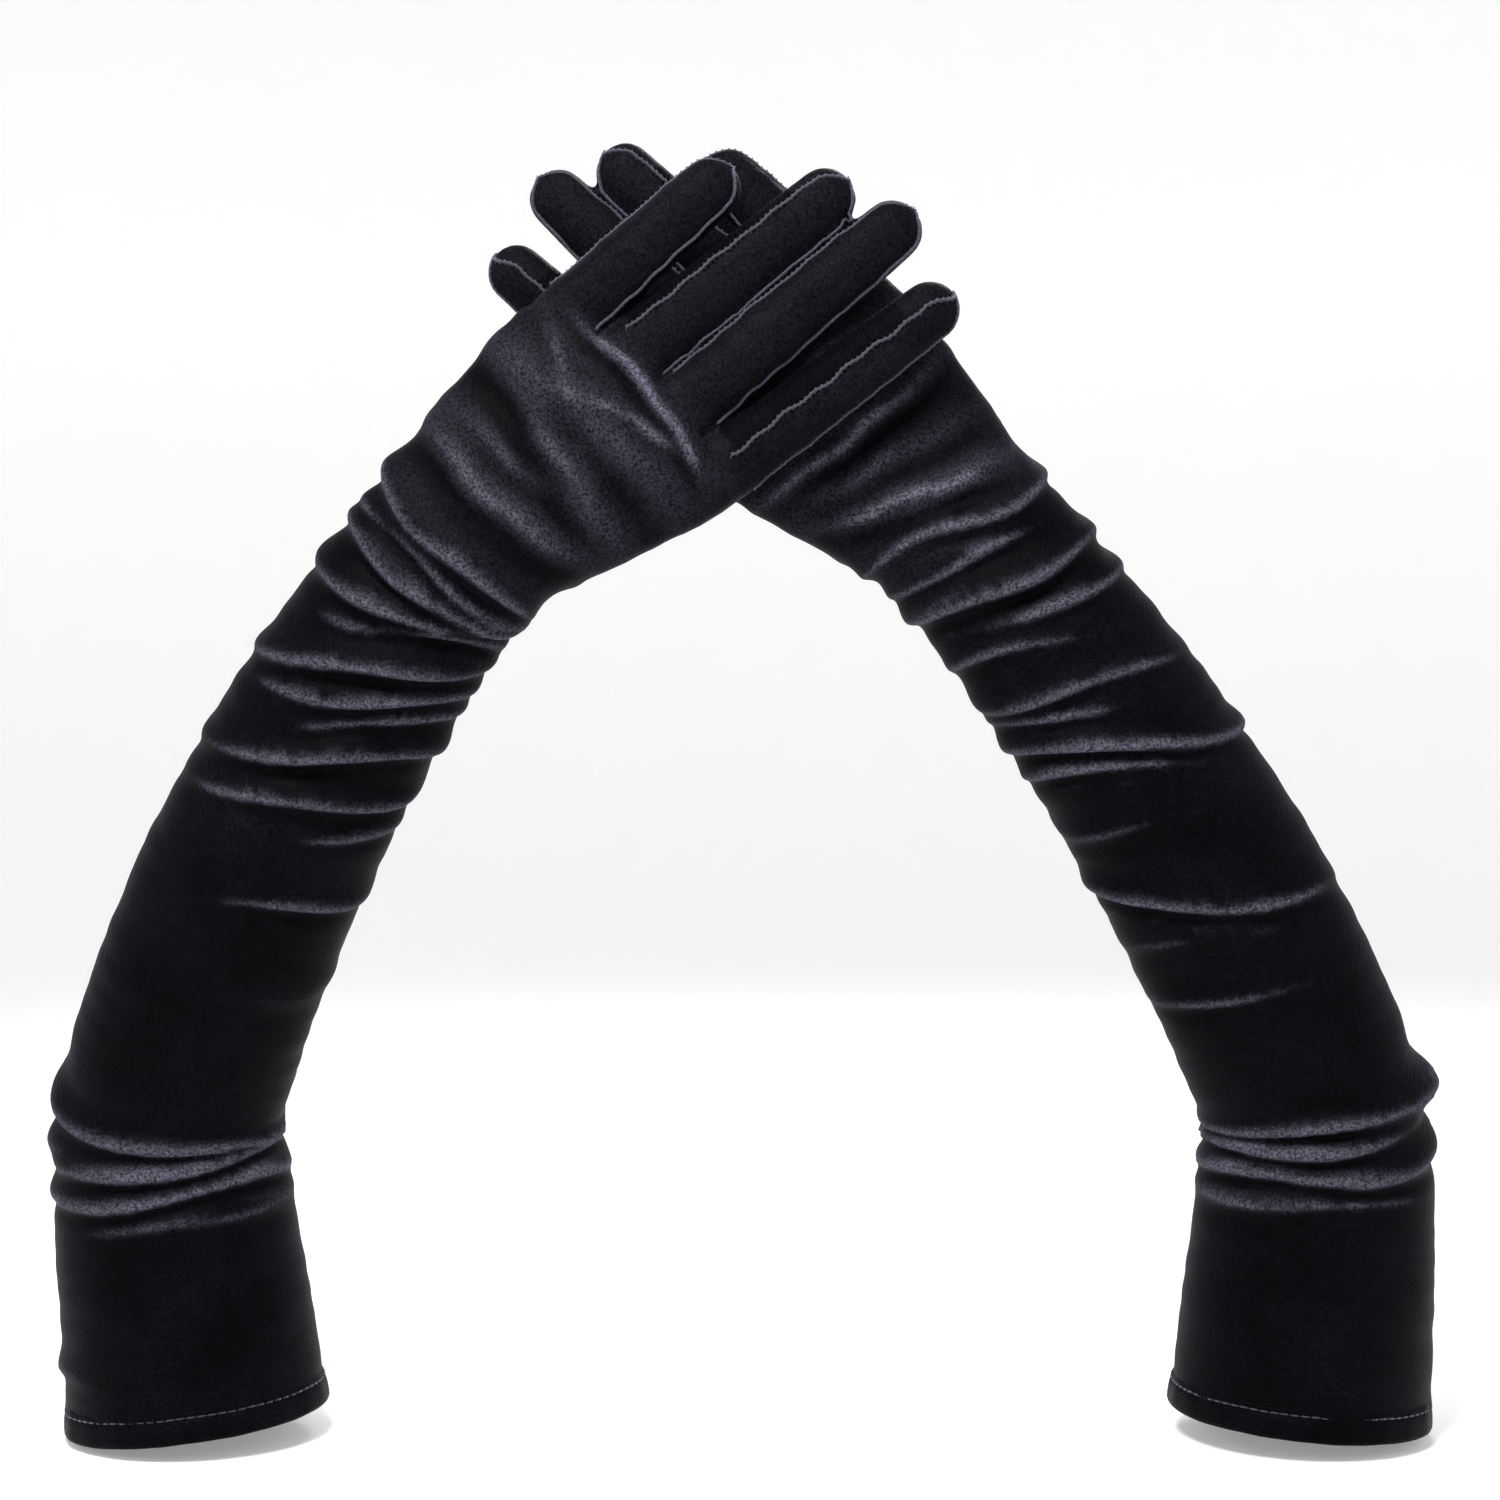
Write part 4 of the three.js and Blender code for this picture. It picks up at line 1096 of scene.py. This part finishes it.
def make_hem(glove):
    """The cuff's turned edge as one closed roll, and the row of stitches that holds it."""
    z = bpy.context.scene.seam_sizes
    turn = np.arange(300) * 2 * math.pi / 300
    rings = [hem_ring(glove, height, out, turn) for height, out in hem_profile()]
    count, sides = len(rings), len(turn)
    faces = []
    for i in range(count):
        for k in range(sides):
            n, j = (k + 1) % sides, (i + 1) % count
            faces.append((i * sides + k, i * sides + n, j * sides + n, j * sides + k))
    if glove.side > 0:
        faces = [tuple(reversed(f)) for f in faces]
    piece = new_object(f"{glove.name}_hem_band", np.vstack(rings), faces)
    fix_normals(piece)
    girth = np.tile(turn * 0.044, count)
    tall = np.repeat([height * MM for height, _ in hem_profile()], sides)
    layer = piece.data.attributes.new("cloth", "FLOAT_VECTOR", "POINT")
    layer.data.foreach_set("vector", np.stack((girth, tall, girth * 0), axis=1).astype(np.float32).ravel())
    piece.data.materials.append(material("hem_velvet_turned"))
    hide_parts(f"{glove.name}_hem")
    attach(piece, f"{glove.name}_upper")
    path = hem_ring(glove, 8.4, 0.62, turn)
    stitches = sewn_seam(f"{glove.name}_hem_stitches", [path], 0.00008, z.hem_gap, 0.0022, 0.0, closed=True)
    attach(stitches, f"{glove.name}_upper")


def fix_normals(obj):
    """Turns every face of a closed piece outwards."""
    work = bmesh.new()
    work.from_mesh(obj.data)
    bmesh.ops.recalc_face_normals(work, faces=work.faces)
    work.to_mesh(obj.data)
    work.free()


# ---- Operators ----

class GLOVES_OT_skins(bpy.types.Operator):
    """Builds both gloves' skins with their folds, cut at the joints"""
    bl_idname = "gloves.skins"
    bl_label = "Velvet skins"

    def execute(self, context):
        for name in SIDES:
            cut_skin(glove_named(name))
        return {"FINISHED"}


class GLOVES_OT_thumbs(bpy.types.Operator):
    """Builds the thumb pieces and the seams that set them in"""
    bl_idname = "gloves.thumbs"
    bl_label = "Thumb pieces"

    def execute(self, context):
        for name in SIDES:
            make_thumb(glove_named(name))
            thumb_seam(glove_named(name))
        return {"FINISHED"}


class GLOVES_OT_seams(bpy.types.Operator):
    """Sews the finger seams and the long sleeve seams"""
    bl_idname = "gloves.seams"
    bl_label = "Seams"

    def execute(self, context):
        for name in SIDES:
            glove = glove_named(name)
            if glove.skin_tree is None:
                raise RuntimeError("build the skins before the seams")
            for key in FINGERS:
                finger_seams(glove, key)
            sleeve_seam(glove)
        return {"FINISHED"}


class GLOVES_OT_hems(bpy.types.Operator):
    """Builds the turned cuff edges and their stitches"""
    bl_idname = "gloves.hems"
    bl_label = "Hems"

    def execute(self, context):
        for name in SIDES:
            make_hem(glove_named(name))
        return {"FINISHED"}


class GLOVES_OT_stage(bpy.types.Operator):
    """Sets the camera, the pale paper sweep and the soft lights"""
    bl_idname = "gloves.stage"
    bl_label = "Stage"

    def execute(self, context):
        make_camera()
        make_sweep()
        make_lights()
        return {"FINISHED"}


def make_camera():
    z = bpy.context.scene.stage_sizes
    data = bpy.data.cameras.new("camera")
    data.lens = z.lens
    data.sensor_width = 36.0
    camera = bpy.data.objects.new("camera", data)
    camera.location = (0.0, -z.distance, z.height)
    camera.rotation_euler = (math.radians(90), 0, 0)
    bpy.context.scene.collection.objects.link(camera)
    bpy.context.scene.camera = camera


def make_sweep():
    """A round tent of white paper: a floor that curves up into a wall on every side."""
    floor, curve, wall, sides = 2.0, 0.8, 4.0, 96
    profile = [(0.4, 0.0), (1.2, 0.0), (floor, 0.0)]
    profile += [(floor + curve * math.sin(a), curve - curve * math.cos(a))
                for a in np.linspace(0, math.pi / 2, 16)[1:]]
    profile.append((floor + curve, wall))
    turn = np.arange(sides) * 2 * math.pi / sides
    verts = [(r * math.cos(a), r * math.sin(a), height) for r, height in profile for a in turn]
    verts.append((0.0, 0.0, 0.0))
    faces = [(sides * len(profile), k, (k + 1) % sides) for k in range(sides)]
    for i in range(len(profile) - 1):
        for k in range(sides):
            n = (k + 1) % sides
            faces.append((i * sides + k, (i + 1) * sides + k, (i + 1) * sides + n, i * sides + n))
    sweep = new_object("paper_sweep", verts, faces)
    sweep.data.materials.append(material("seamless_paper_matte"))


def make_lights():
    lights = (
        ("softbox_key", (-0.2, -0.65, 1.0), (0, -0.05, 0.33), 0.28, 13.0),
        ("softbox_top", (0.1, -0.05, 1.4), (0, -0.05, 0.2), 0.9, 3.2),
        ("softbox_left", (-1.25, -0.55, 0.8), (0, 0, 0.25), 0.6, 1.5),
        ("softbox_right", (1.25, -0.4, 0.75), (0, 0, 0.25), 0.6, 1.2),
        ("softbox_back", (0.35, 1.1, 1.2), (0, 0, 0.25), 0.4, 7.0),
    )
    for name, place, aim, size, power in lights:
        data = bpy.data.lights.new(name, "AREA")
        data.shape = "SQUARE"
        data.size = size
        data.energy = power
        lamp = bpy.data.objects.new(name, data)
        lamp.visible_camera = False
        lamp.location = place
        lamp.rotation_euler = (Vector(aim) - Vector(place)).to_track_quat("-Z", "Y").to_euler()
        bpy.context.scene.collection.objects.link(lamp)
    world = bpy.data.worlds.new("white_room")
    world.use_nodes = True
    background = world.node_tree.nodes["Background"]
    background.inputs["Color"].default_value = (1.0, 1.0, 1.0, 1.0)
    background.inputs["Strength"].default_value = 0.03
    bpy.context.scene.world = world
    bpy.context.scene.view_settings.view_transform = "Standard"


OPERATORS = (GLOVES_OT_skins, GLOVES_OT_thumbs, GLOVES_OT_seams, GLOVES_OT_hems, GLOVES_OT_stage)


class GLOVES_PT_panel(bpy.types.Panel):
    """Lists the steps and sizes of the gloves"""
    bl_idname = "GLOVES_PT_panel"
    bl_label = "Opera Gloves"
    bl_space_type = "VIEW_3D"
    bl_region_type = "UI"
    bl_category = "Gloves"

    def draw(self, context):
        layout = self.layout
        for operator in OPERATORS:
            layout.operator(operator.bl_idname)
        for attribute, group in PROPERTY_GROUPS:
            box = layout.box()
            box.label(text=group.__doc__)
            for key in group.__annotations__:
                box.prop(getattr(context.scene, attribute), key)


def register():
    for attribute, group in PROPERTY_GROUPS:
        bpy.utils.register_class(group)
        setattr(bpy.types.Scene, attribute, bpy.props.PointerProperty(type=group))
    for item in (*OPERATORS, GLOVES_PT_panel):
        bpy.utils.register_class(item)


def unregister():
    for item in reversed((*OPERATORS, GLOVES_PT_panel)):
        bpy.utils.unregister_class(item)
    for attribute, group in reversed(PROPERTY_GROUPS):
        delattr(bpy.types.Scene, attribute)
        bpy.utils.unregister_class(group)


def main():
    register()
    bpy.ops.gloves.skins()
    bpy.ops.gloves.thumbs()
    bpy.ops.gloves.seams()
    bpy.ops.gloves.hems()
    bpy.ops.gloves.stage()


if __name__ == "__main__":
    main()
